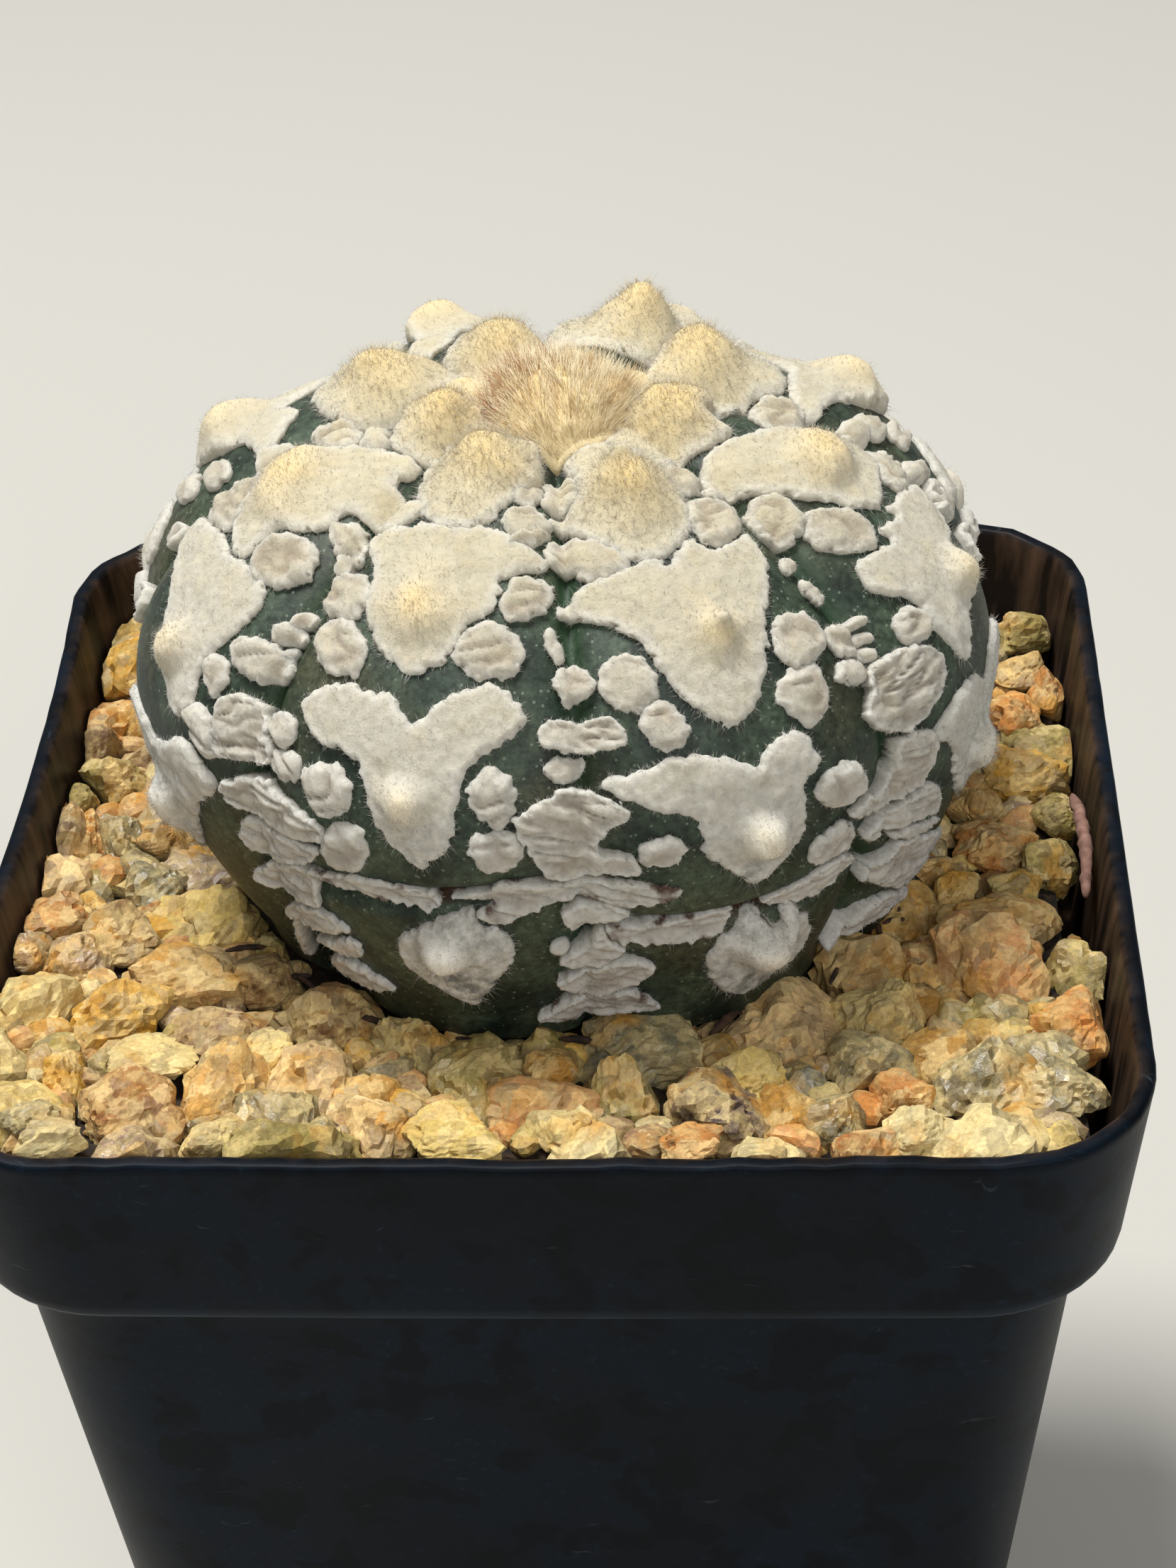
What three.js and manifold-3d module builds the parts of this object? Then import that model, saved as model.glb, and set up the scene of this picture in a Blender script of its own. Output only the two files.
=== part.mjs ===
// Potted star cactus: a square nursery pot with soil, yellow granite gravel and one eight-ribbed cactus.
// Millimetres, +Z up. The origin is the centre of the plane that the pot's feet stand on; the front is -Y.
import * as THREE from 'three';
import { mergeVertices } from 'three/addons/utils/BufferGeometryUtils.js';
import Module from 'manifold-3d';

const wasm = await Module();
wasm.setup();

// Pot: a thin moulded shell with a deep lip band. Sides are full widths, drafts are run per rise.
const potHeight = 75;
const rimSide = 70;
const rimCorner = 9;
const baseCorner = 7;
const lipHeight = 12.4;
const lipStep = 2;
const wallDraft = 0.107;
const wall = 1.1;
const floorThickness = 1.8;
const footHeight = 1.5;
const footRadius = 4;
const footPlace = 18.5;
const drainRadius = 2.8;
const drainPlace = 11;

// Filling: soil up to just under the lip, gravel on it. A clear gap is kept where pieces touch.
const gap = 0.3;
const soilTop = 61;
const bedBelowGrains = 2.1;

// Cactus: a flattened globe with a sunken crown, on a neck and a taproot. Heights are from its equator.
const ribCount = 8;
const equatorHeight = 87.6;
const equatorRadius = 26.2;
const shoulderRise = 16;
const crownDip = 2.15;
const crownDipWidth = 7.1;
const flankDrop = 14.6;
const flankRadius = 22;
const leftSlimming = 1.8;
const ribDepth = 1.5;
const leanBack = THREE.MathUtils.degToRad(-1.85);
const spin = THREE.MathUtils.degToRad(5.5);
const cactusPlace = new THREE.Vector3(0.9, 1.3, equatorHeight);
const padHeight = 0.6;
const padRoot = 0.6;
const bridgeRoot = 2;
const coneSides = 5;
const foldDepth = 1.1;
const foldWidth = 0.8;

function seeded(seed) {
  let state = seed;
  return () => {
    state = (state * 16807) % 2147483647;
    return state / 2147483647;
  };
}

function material(color, roughness) {
  return new THREE.MeshStandardMaterial({ color, roughness, metalness: 0 });
}

const blackPlastic = material(0x17191d, 0.42);
const darkSoil = material(0x3a2b20, 0.95);
const yellowGranite = material(0xd8b878, 0.85);
const greenSkin = material(0x42523f, 0.7);
const tanWool = material(0xd9c08c, 0.95);
const pinkBrownFibre = material(0x8f6f62, 0.9);

function solidOf(geometry) {
  const bare = geometry.clone();
  bare.deleteAttribute('normal');
  bare.deleteAttribute('uv');
  const merged = mergeVertices(bare, 1e-5);
  return new wasm.Manifold(new wasm.Mesh({
    numProp: 3,
    vertProperties: new Float32Array(merged.attributes.position.array),
    triVerts: new Uint32Array(merged.index.array),
  }));
}

function geometryOf(solid) {
  const mesh = solid.getMesh();
  const geometry = new THREE.BufferGeometry();
  geometry.setAttribute('position', new THREE.BufferAttribute(new Float32Array(mesh.vertProperties), 3));
  geometry.setIndex(Array.from(mesh.triVerts));
  geometry.computeVertexNormals();
  return geometry;
}

function fuse(solids) {
  let row = solids;
  while (row.length > 1) {
    const next = [];
    for (let i = 0; i < row.length; i += 2) {
      next.push(i + 1 < row.length ? row[i].add(row[i + 1]) : row[i]);
    }
    row = next;
  }
  return row[0];
}

function indexed(points, triangles) {
  const geometry = new THREE.BufferGeometry();
  geometry.setFromPoints(points);
  geometry.setIndex(triangles);
  return geometry;
}

// Skins a stack of equal rings, which run counter-clockwise from above, and closes both ends with a fan.
function loft(rings) {
  const n = rings[0].length;
  const points = rings.flat();
  const triangles = [];
  for (let k = 0; k + 1 < rings.length; k++) {
    for (let j = 0; j < n; j++) {
      const a = k * n + j;
      const b = k * n + (j + 1) % n;
      triangles.push(a, b, b + n, a, b + n, a + n);
    }
  }
  for (const [k, flip] of [[0, true], [rings.length - 1, false]]) {
    const centre = new THREE.Vector3();
    rings[k].forEach((p) => centre.addScaledVector(p, 1 / n));
    points.push(centre);
    for (let j = 0; j < n; j++) {
      const a = k * n + j;
      const b = k * n + (j + 1) % n;
      triangles.push(...(flip ? [b, a, points.length - 1] : [a, b, points.length - 1]));
    }
  }
  return indexed(points, triangles);
}

// A square ring with round corners. The height may be a function of the point's place.
function squareRing(side, corner, height) {
  const ring = [];
  const stepsPerCorner = 5;
  const reach = side / 2 - corner;
  for (let quarter = 0; quarter < 4; quarter++) {
    const middle = (quarter + 0.5) * Math.PI / 2;
    const cx = Math.sign(Math.cos(middle)) * reach;
    const cy = Math.sign(Math.sin(middle)) * reach;
    for (let i = 0; i <= stepsPerCorner; i++) {
      const angle = (quarter + i / stepsPerCorner) * Math.PI / 2;
      const x = cx + corner * Math.cos(angle);
      const y = cy + corner * Math.sin(angle);
      ring.push(new THREE.Vector3(x, y, typeof height === 'function' ? height(x, y) : height));
    }
  }
  return ring;
}

// Widths of the pot's outside, from the rim down over the lip and the narrower body.
const lipBottom = potHeight - lipHeight;
const lipSide = (z) => rimSide - 2 * wallDraft * (potHeight - z);
const bodySide = (z) => lipSide(z) - 2 * lipStep;
const ledge = lipBottom + wall;

function cylinderAt(radius, sides, bottom, top, x, y) {
  const cylinder = new THREE.CylinderGeometry(radius, radius, top - bottom, sides);
  cylinder.rotateX(Math.PI / 2);
  cylinder.translate(x, y, (bottom + top) / 2);
  return solidOf(cylinder);
}

function potGeometry() {
  const innerCorner = rimCorner - wall;
  const shell = solidOf(loft([
    squareRing(bodySide(footHeight) - 1, baseCorner, footHeight),
    squareRing(bodySide(footHeight), baseCorner, footHeight + 0.6),
    squareRing(bodySide(lipBottom), rimCorner - 1, lipBottom),
    squareRing(lipSide(lipBottom), rimCorner, lipBottom),
    squareRing(rimSide, rimCorner, potHeight),
    squareRing(rimSide - 2 * wall, innerCorner, potHeight),
    squareRing(lipSide(ledge) - 2 * wall, innerCorner, ledge),
    squareRing(bodySide(ledge) - 2 * wall, innerCorner - 1, ledge),
    squareRing(bodySide(footHeight) - 2 * wall, baseCorner - wall, footHeight + floorThickness),
  ]));
  const feet = [];
  const drains = [cylinderAt(drainRadius, 10, 0, 2 * footHeight + floorThickness, 0, 0)];
  for (const sx of [-1, 1]) {
    for (const sy of [-1, 1]) {
      feet.push(cylinderAt(footRadius, 12, 0, footHeight + 0.5, sx * footPlace, sy * footPlace));
      const drainTop = 2 * footHeight + floorThickness;
      drains.push(cylinderAt(drainRadius, 10, 0, drainTop, sx * drainPlace, sy * drainPlace));
    }
  }
  return geometryOf(fuse([shell, ...feet]).subtract(fuse(drains)));
}

// The globe's outline as radius and height against the distance s along it from the crown. The upper part
// is an ellipse less a bell-shaped dip at the crown, and the flank below the equator draws in slowly.
const outline = [];
{
  const steps = 120;
  for (let i = 0; i <= steps; i++) {
    const angle = Math.PI / 2 * (1 - i / steps);
    const r = equatorRadius * Math.cos(angle);
    const z = shoulderRise * Math.sin(angle) - crownDip * Math.exp(-((r / crownDipWidth) ** 2));
    outline.push({ r, z });
  }
  for (let i = 1; i <= steps; i++) {
    const t = i / steps;
    const drawIn = 0.45 * t + 0.55 * t ** 2.6;
    outline.push({ r: equatorRadius - (equatorRadius - flankRadius) * drawIn, z: -flankDrop * t });
  }
  outline.forEach((p, i) => {
    const before = outline[Math.max(i - 1, 0)];
    p.s = i ? before.s + Math.hypot(p.r - before.r, p.z - before.z) : 0;
  });
}
const outlineLength = outline.at(-1).s;

function outlineAt(s) {
  let i = outline.findIndex((p) => p.s >= s);
  i = i < 0 ? outline.length - 1 : Math.max(i, 1);
  const a = outline[i - 1];
  const b = outline[i];
  const t = (s - a.s) / (b.s - a.s);
  const length = Math.hypot(b.r - a.r, b.z - a.z);
  return {
    r: a.r + (b.r - a.r) * t,
    z: a.z + (b.z - a.z) * t,
    outR: -(b.z - a.z) / length,
    outZ: (b.r - a.r) / length,
  };
}

const crestAngle = (rib) => -Math.PI / 2 + (rib - 0.5) * 2 * Math.PI / ribCount + spin;

// Pinched folds that cross the two front ribs: the rib, the fold's distance from the crown at the crest
// and how much that grows per mm sideways.
const folds = [
  { rib: 0, s: 37.6, slope: -0.12 },
  { rib: 1, s: 40.2, slope: 0 },
];

// How far the skin stands off the smooth outline: it sinks towards each groove with a power of the share
// of the way from the crest, less deep at the crown, and it is pinched in along the folds.
function relief(angle, s, r) {
  const ribAngle = 2 * Math.PI / ribCount;
  const turns = (angle - crestAngle(0)) / ribAngle;
  const rib = Math.round(turns);
  const share = Math.abs(turns - rib) * 2;
  const depth = ribDepth * Math.min(1, s / 8) * (1 + 0.35 * THREE.MathUtils.smoothstep(s, 34, 46));
  let height = -depth * share ** 2.6;
  for (const fold of folds) {
    const ribsAway = turns - fold.rib;
    const sideways = (ribsAway - Math.round(ribsAway / ribCount) * ribCount) * ribAngle * r;
    const across = (s - fold.s - fold.slope * sideways) / foldWidth;
    const along = 1 - THREE.MathUtils.smoothstep(Math.abs(sideways), 7, 11);
    height -= foldDepth * along * Math.exp(-(across ** 2));
  }
  return height;
}

// The flank at the left is drawn in more than the others.
function skinPoint(angle, s, lift) {
  const p = outlineAt(s);
  const height = relief(angle, s, p.r) + lift;
  const below = Math.max(0, -p.z / flankDrop);
  const towardsLeft = Math.max(0, -Math.cos(angle));
  const r = p.r - leftSlimming * below ** 2 * towardsLeft ** 2 + height * p.outR;
  return new THREE.Vector3(r * Math.cos(angle), r * Math.sin(angle), p.z + height * p.outZ);
}

// A place on a rib: s from the crown along the crest and x sideways from it, both in mm along the skin.
function ribPoint(rib, s, x, lift) {
  const r = Math.max(outlineAt(s).r, 1);
  return skinPoint(crestAngle(rib) + x / r, s, lift);
}

function globe() {
  const columnsPerRib = 6;
  const columns = ribCount * columnsPerRib;
  const rows = [3, 6.5, 10, 14, 19, 24, 29, 33, 36.4, 37.6, 38.8, 40.2, 41.6, 44.5, outlineLength];
  const rings = rows.map((s) => {
    const ring = [];
    for (let j = 0; j < columns; j++) {
      ring.push(skinPoint(crestAngle(0) + (j - columnsPerRib / 2) * 2 * Math.PI / columns, s, 0));
    }
    return ring;
  });
  // Under the gravel the flank turns in to the neck of the root.
  for (const [share, z] of [[0.86, -17.2], [0.5, -20.5]]) {
    rings.push(rings[rows.length - 1].map((p) => new THREE.Vector3(p.x * share, p.y * share, z)));
  }
  return solidOf(loft(rings.reverse()));
}

const rootProfile = [[0, -50], [0.8, -50], [2.4, -42], [4, -33], [5.5, -25], [8, -20], [8, -18], [0, -18]];

function taproot(clearance) {
  const points = rootProfile.map(([r, z]) => new THREE.Vector2(r ? r + clearance : 0, z));
  points[0].y -= clearance;
  points[1].y -= clearance;
  const lathe = new THREE.LatheGeometry(points, 12);
  lathe.rotateX(Math.PI / 2);
  return solidOf(lathe);
}

// Turns a triangle of [s, x] places so that it faces out of the skin.
function outward(places, [a, b, c]) {
  const [sa, xa] = places[a];
  const [sb, xb] = places[b];
  const [sc, xc] = places[c];
  return (xb - xa) * (sc - sa) - (sb - sa) * (xc - xa) < 0 ? [a, b, c] : [a, c, b];
}

// A felt pad on a rib: an edge of [s, x] places is raised over the skin and rooted in it. A patch with an
// areole has a hole in its middle for the foot of a woolly cone, whose tip stands above the pad.
function feltPad(rib, edge, root, cone) {
  const flat = ([s, x]) => new THREE.Vector2(x, s);
  const rim = THREE.ShapeUtils.isClockWise(edge.map(flat)) ? edge : [...edge].reverse();
  const foot = [];
  for (let i = 0; cone && i < coneSides; i++) {
    const angle = i / coneSides * 2 * Math.PI;
    foot.push([cone.s + cone.radius * Math.cos(angle), cone.x + cone.radius * Math.sin(angle)]);
  }
  const places = [...rim, ...foot];
  const points = places.map(([s, x]) => ribPoint(rib, s, x, padHeight));
  const holes = cone ? [foot.map(flat)] : [];
  const faces = THREE.ShapeUtils.triangulateShape(rim.map(flat), holes);
  const triangles = faces.flatMap((face) => outward(places, face));
  if (cone) {
    places.push([cone.s, cone.x]);
    points.push(ribPoint(rib, cone.s, cone.x, cone.height));
    for (let i = 0; i < coneSides; i++) {
      const next = rim.length + (i + 1) % coneSides;
      triangles.push(...outward(places, [rim.length + i, next, places.length - 1]));
    }
  }
  const under = points.length;
  points.push(...rim.map(([s, x]) => ribPoint(rib, s, x, -root)));
  THREE.ShapeUtils.triangulateShape(rim.map(flat), []).forEach((face) => {
    const [a, b, c] = outward(places, face);
    triangles.push(under + a, under + c, under + b);
  });
  for (let i = 0; i < rim.length; i++) {
    const next = (i + 1) % rim.length;
    triangles.push(i, under + i, under + next, i, under + next, next);
  }
  return solidOf(indexed(points, triangles));
}

function roundPad(rib, s, x, long, wide, root, random) {
  const sides = long + wide > 4 ? 7 : long + wide > 2.4 ? 6 : 5;
  const edge = [];
  for (let i = 0; i < sides; i++) {
    const angle = (i + 0.3 * random()) / sides * 2 * Math.PI;
    const wobble = 0.88 + 0.24 * random();
    edge.push([s + long * wobble * Math.cos(angle), x + wide * wobble * Math.sin(angle)]);
  }
  return feltPad(rib, edge, root);
}

// Areoles down each rib as distances from the crown. The first of each rib is a tan cone at the crown.
const areoles = [
  [8.4, 19.6, 30.6, 40.6],
  [11.6, 22.3, 34, 43],
  [7.1, 16.4, 26.8, 38],
  [9.5, 20.5, 31.5, 42],
  [12, 22.5, 33.5, 43],
  [6.6, 17.3, 28, 39],
  [10.8, 22, 33, 42.5],
  [6.5, 16.3, 27.6, 38.6],
];
// Those crown cones as [sideways place, height].
const crownCones = [[0, 1.9], [0, 1.9], [0, 2.1], [0, 2.2], [1, 2.6], [0, 2.4], [0, 2], [0, 2.1]];

// Edges of the felt patches round the areoles of the four ribs that face the front, as [s, x] places.
const shownPatches = [
  { rib: 0, s: 19.6, x: -0.9, edge: [[13.4, -2.8], [13.3, 1.2], [15, 4.1], [17, 3.6], [19, 3.1],
    [21.6, 2.3], [23.6, 0], [22.6, -2.6], [20.6, -4.1], [17.6, -4.7], [15.8, -5.9], [14.8, -4.4]] },
  { rib: 0, s: 30.8, x: 0.6, edge: [[27, -6.8], [24.9, -4.4], [25, -2.2], [26.4, 0.3], [24.6, 2.6],
    [24.2, 4.6], [25.8, 6.2], [27.6, 4.2], [30.4, 3.1], [33.2, 2.4], [34.6, 0.6], [32.6, -1.7],
    [29.8, -2.5], [28.3, -4.6]] },
  { rib: 0, s: 40.6, x: 2.3, edge: [[39.3, 0.4], [38.7, 2.6], [39.6, 4.6], [41.4, 5.4], [43.8, 4.4],
    [46.4, 2.2], [44.8, 0.6], [42.6, -1], [40.8, -1]] },
  { rib: 1, s: 22.3, x: 0, edge: [[19.4, -7.4], [18, -5.6], [17.2, -2.8], [17.6, -0.6], [16.6, 1.6],
    [18, 4.7], [19.6, 5.2], [21.2, 3.7], [24.4, 2.9], [27.3, -0.2], [24.6, -3.4], [22, -4.3],
    [20.4, -5.2]] },
  { rib: 1, s: 34, x: -0.2, edge: [[30.2, -8.5], [28.9, -6.4], [28.8, -3.4], [30.3, -0.4], [29, 1.4],
    [29, 3.2], [30.8, 4], [32.4, 2.7], [35.2, 2.5], [37.5, 0], [35.8, -3], [33.2, -3.4], [31.4, -5.6]] },
  { rib: 1, s: 42.6, x: 0.7, edge: [[41.6, -1.4], [41.4, 0.7], [41.6, 2.6], [43.2, 4.3], [45.6, 4],
    [47.8, 1.8], [46.2, -1], [43.6, -2.3]] },
  { rib: 2, s: 16.4, x: 0.8, edge: [[11.3, -4.4], [10.8, -0.4], [12.2, 3.8], [14.8, 4.2], [15.4, 3],
    [18.2, 5.2], [20.6, 6.9], [21.8, 5.2], [20.3, 2], [20.3, -0.6], [17.4, -3], [14.2, -4.7]] },
  { rib: 2, s: 26.8, x: 1, edge: [[22.4, -6.1], [21.9, -2.6], [21.4, 1.6], [22.6, 5.8], [24.8, 7],
    [26.4, 4.4], [28.4, 2.4], [31, -2.2], [28, -3.9], [25.2, -4.4], [23.8, -5.6]] },
  { rib: 7, s: 16.3, x: -1, edge: [[11, -2.8], [10.6, 0.8], [12.6, 4.7], [14.6, 4], [17.6, 3.8],
    [20.4, 5.4], [21.5, 3.4], [20.8, 0], [21.8, -4.2], [20, -7.6], [16.6, -6.1], [13.6, -4.9]] },
  { rib: 7, s: 27.6, x: 1, edge: [[23.4, -7.8], [22.3, -4.4], [21.5, 0.2], [22.6, 4.8], [24.6, 5],
    [27, 4.1], [31, 3.6], [31.4, 1], [28.8, -0.9], [26, -2.9], [25, -5]] },
];

// The usual two-armed patch, as places from its areole, for the areoles whose patch isn't given above.
const usualPatch = [[-4.2, -6.4], [-5.9, -4.2], [-5.6, -1.8], [-4.3, 0], [-5.9, 2.2], [-5.9, 4.4], [-4, 6.2],
  [-2.3, 4], [0.4, 2.9], [3.4, 0.2], [0.2, -2.8], [-2.5, -4.1]];

// Separate felt dots of the shown ribs as [rib, s, x, half length, half width].
const shownDots = [
  [0, 13.2, 2.9, 1.2, 1.2], [0, 18.8, 4.9, 1.2, 1.4], [0, 21.9, 4, 1.6, 1.4], [0, 20, -6.5, 1.4, 1.4],
  [0, 23.2, -5.1, 1.5, 1.7], [0, 28.5, -8.2, 0.9, 1], [0, 30.6, -7.9, 0.9, 1.2], [0, 31.4, -4.7, 1.2, 1.4],
  [0, 34.5, -3.7, 1.6, 1.5], [0, 30.1, 5.3, 1.6, 1.2], [0, 33.7, 5.4, 1.2, 1.2], [0, 23.6, 8.5, 0.8, 0.8],
  [0, 26.5, 8.4, 0.9, 1.1], [0, 11.4, -3.4, 0.9, 0.8], [1, 11.9, 3, 1.2, 1], [1, 15.3, 3.5, 1.7, 1.3],
  [1, 15.6, -5.2, 1.3, 1.3], [1, 24.1, -5.7, 1.5, 1.4], [1, 27, -4.5, 1.3, 1.2], [1, 26.8, -8.1, 1, 1.2],
  [1, 24, 5, 1.5, 1.5], [1, 27.2, 4.3, 1.6, 1.5], [1, 22, 7.2, 0.9, 0.6], [1, 24.7, 7.8, 0.8, 0.8],
  [1, 26.9, 8, 0.9, 0.8], [1, 33.3, 5.6, 1.3, 1.4], [1, 37, 5.2, 1.1, 1.6], [1, 34.4, -6, 1, 1.1],
  [2, 16.9, -5.3, 1.4, 1.3], [2, 20.4, -3.8, 1.7, 1.4], [2, 27, -5.6, 1.4, 1.1], [2, 30.2, -5.2, 1.2, 0.9],
  [2, 29.9, 3.8, 1.1, 1.6], [2, 24, 9, 1.2, 0.9], [7, 16.8, 5.6, 1, 1.3], [7, 23.2, 7.6, 0.8, 1],
  [7, 25.6, 7.8, 0.9, 1.6], [7, 27.6, 6, 1.1, 1], [7, 31.8, 6, 1.3, 1.2], [7, 32.8, -0.8, 1, 1.8],
  [7, 29.4, -3.6, 1.6, 1.7], [7, 27.4, -7, 1.2, 1.6],
];

// Wrinkled felt that bridges the shown grooves, as [rib, s, x, half length, half width].
const shownBridges = [
  [0, 32, 9.2, 3.1, 2.6], [0, 37, 9.9, 0.8, 2.8], [0, 39.5, 10.4, 1, 2], [0, 42.7, 9.8, 1.6, 2.6],
  [0, 45.7, 9.6, 1.1, 2.8], [7, 29.2, 8.9, 1.4, 1.8], [0, 34.2, -8.4, 1.6, 2.6], [0, 38.9, -9, 1.8, 2.2],
  [0, 42.7, -7.8, 1.6, 2.4], [0, 46.3, -6.6, 1.2, 2.6], [1, 30, 9.8, 2.4, 1.9], [1, 35.2, 9, 1, 2.2],
  [1, 38.2, 9.6, 1.1, 2], [1, 41.6, 10, 1.4, 2.2], [1, 45, 9.4, 1.4, 2.2],
];

// Thin wrinkled strips along the folds, as edges of [s, x] places.
const foldStrips = [
  { rib: 0, edge: [[38, -7.2], [37, -4.5], [36.6, -2], [37.4, 0.6], [38.1, -2], [38.2, -5]] },
  { rib: 0, edge: [[37.7, 2.6], [36.4, 4.4], [35.6, 7], [36.6, 7], [37.4, 5.4], [38.2, 4]] },
  { rib: 1, edge: [[39.5, -7.4], [39.1, -5.4], [39.6, -3], [40.3, -1.2], [40.9, -3], [40.8, -7]] },
  { rib: 1, edge: [[40.9, 1.2], [39.4, 3.4], [39, 6], [39.8, 7.6], [40.6, 6.6], [40.7, 4]] },
];

function cactusGeometry() {
  const random = seeded(4711);
  const pieces = [globe(), taproot(0)];
  const shown = new Set(shownPatches.map((p) => `${p.rib} ${Math.round(p.s)}`));
  shownPatches.forEach(({ rib, s, x, edge }) => {
    pieces.push(feltPad(rib, edge, padRoot, { s, x, radius: 1, height: 1.5 }));
  });
  areoles.forEach((row, rib) => {
    const collar = [];
    for (let i = 0; i < 9; i++) {
      const angle = -i / 9 * 2 * Math.PI;
      const reach = 3 + 0.5 * random();
      collar.push([row[0] + reach * Math.cos(angle), reach * Math.sin(angle) * Math.min(1, row[0] / 9)]);
    }
    const [x, height] = crownCones[rib];
    pieces.push(feltPad(rib, collar, bridgeRoot, { s: row[0], x, radius: 1.7, height }));
    row.slice(1).forEach((s) => {
      if (shown.has(`${rib} ${Math.round(s)}`)) {
        return;
      }
      const narrow = Math.min(1, (outlineAt(s).r - 6) / 17);
      const edge = usualPatch.map(([ds, x]) => [
        Math.min(s + ds * (0.9 + 0.2 * random()), outlineLength - 0.6),
        x * narrow * (0.88 + 0.24 * random()),
      ]);
      pieces.push(feltPad(rib, edge, padRoot, { s, x: 0, radius: 1, height: 1.4 }));
    });
  });
  shownDots.forEach((dot) => pieces.push(roundPad(...dot, padRoot, random)));
  shownBridges.forEach((bridge) => pieces.push(roundPad(...bridge, bridgeRoot, random)));
  foldStrips.forEach(({ rib, edge }) => pieces.push(feltPad(rib, edge, bridgeRoot)));
  // Ribs 3 to 6 face the back: dots in two files beside the patches, and bridges over their grooves.
  for (let rib = 3; rib <= 6; rib++) {
    areoles[rib].slice(1).forEach((s) => {
      for (const side of [-1, 1]) {
        for (const [ds, x] of [[-0.6, 5.7], [2.6, 4.6]]) {
          const place = s + ds + 0.8 * (random() - 0.5);
          if (place < 40) {
            const reach = 1 + 0.2 * random();
            const narrow = Math.min(1, outlineAt(place).r / 22);
            pieces.push(roundPad(rib, place, side * x * narrow, reach, reach, padRoot, random));
          }
        }
      }
    });
  }
  for (let rib = 2; rib <= 6; rib++) {
    for (const s of [25, 30, 35, 39.5, 44]) {
      const place = s + random() - 0.5;
      const half = outlineAt(place).r * Math.PI / ribCount;
      const wide = THREE.MathUtils.mapLinear(place, 24, 45, 1.1, 2.5);
      pieces.push(roundPad(rib, place, half, 1 + 0.5 * random(), wide, bridgeRoot, random));
    }
  }
  return largest(fuse(pieces));
}

function placed(solid) {
  const geometry = geometryOf(solid);
  geometry.rotateX(leanBack);
  geometry.translate(cactusPlace.x, cactusPlace.y, cactusPlace.z);
  return geometry;
}

// The room that the cactus takes in the gravel: its globe and pads with a clear gap, from the neck up.
function cactusRoom() {
  const columns = 32;
  const rings = [41, 45, outlineLength].map((s) => {
    const ring = [];
    for (let j = 0; j < columns; j++) {
      ring.push(skinPoint(crestAngle(0) + j * 2 * Math.PI / columns, s, padHeight + gap + 0.15));
    }
    return ring;
  });
  const widest = rings[0].map((p) => new THREE.Vector3(p.x * 1.06, p.y * 1.06, p.z + 9));
  const neck = [[0.88, -17.6], [0.53, -21], [0.4, -30]].map(([share, z]) => {
    return rings[2].map((p) => new THREE.Vector3(p.x * share, p.y * share, z));
  });
  return solidOf(loft([widest, ...rings, ...neck].reverse()));
}

function soilGeometry() {
  const floorTop = footHeight + floorThickness + gap;
  const inner = (z) => bodySide(z) - 2 * (wall + gap);
  const soil = solidOf(loft([
    squareRing(inner(footHeight), baseCorner - wall - gap, floorTop),
    squareRing(inner(soilTop), rimCorner - 1 - wall - gap, soilTop),
  ]));
  return geometryOf(soil.subtract(solidOf(placed(taproot(gap + 0.1)))));
}

// Height of the gravel's surface against y: level with the rim at the front, lower at the back.
function gravelLevel(y) {
  const steps = [[-36, 0.3], [-30, -0.8], [-20, -2.2], [0, -3.8], [30, -4.5], [36, -4.5]];
  const i = Math.max(1, steps.findIndex(([place]) => place >= y));
  const [y0, h0] = steps[i - 1];
  const [y1, h1] = steps[i];
  return potHeight + h0 + (h1 - h0) * (y - y0) / (y1 - y0);
}

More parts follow.
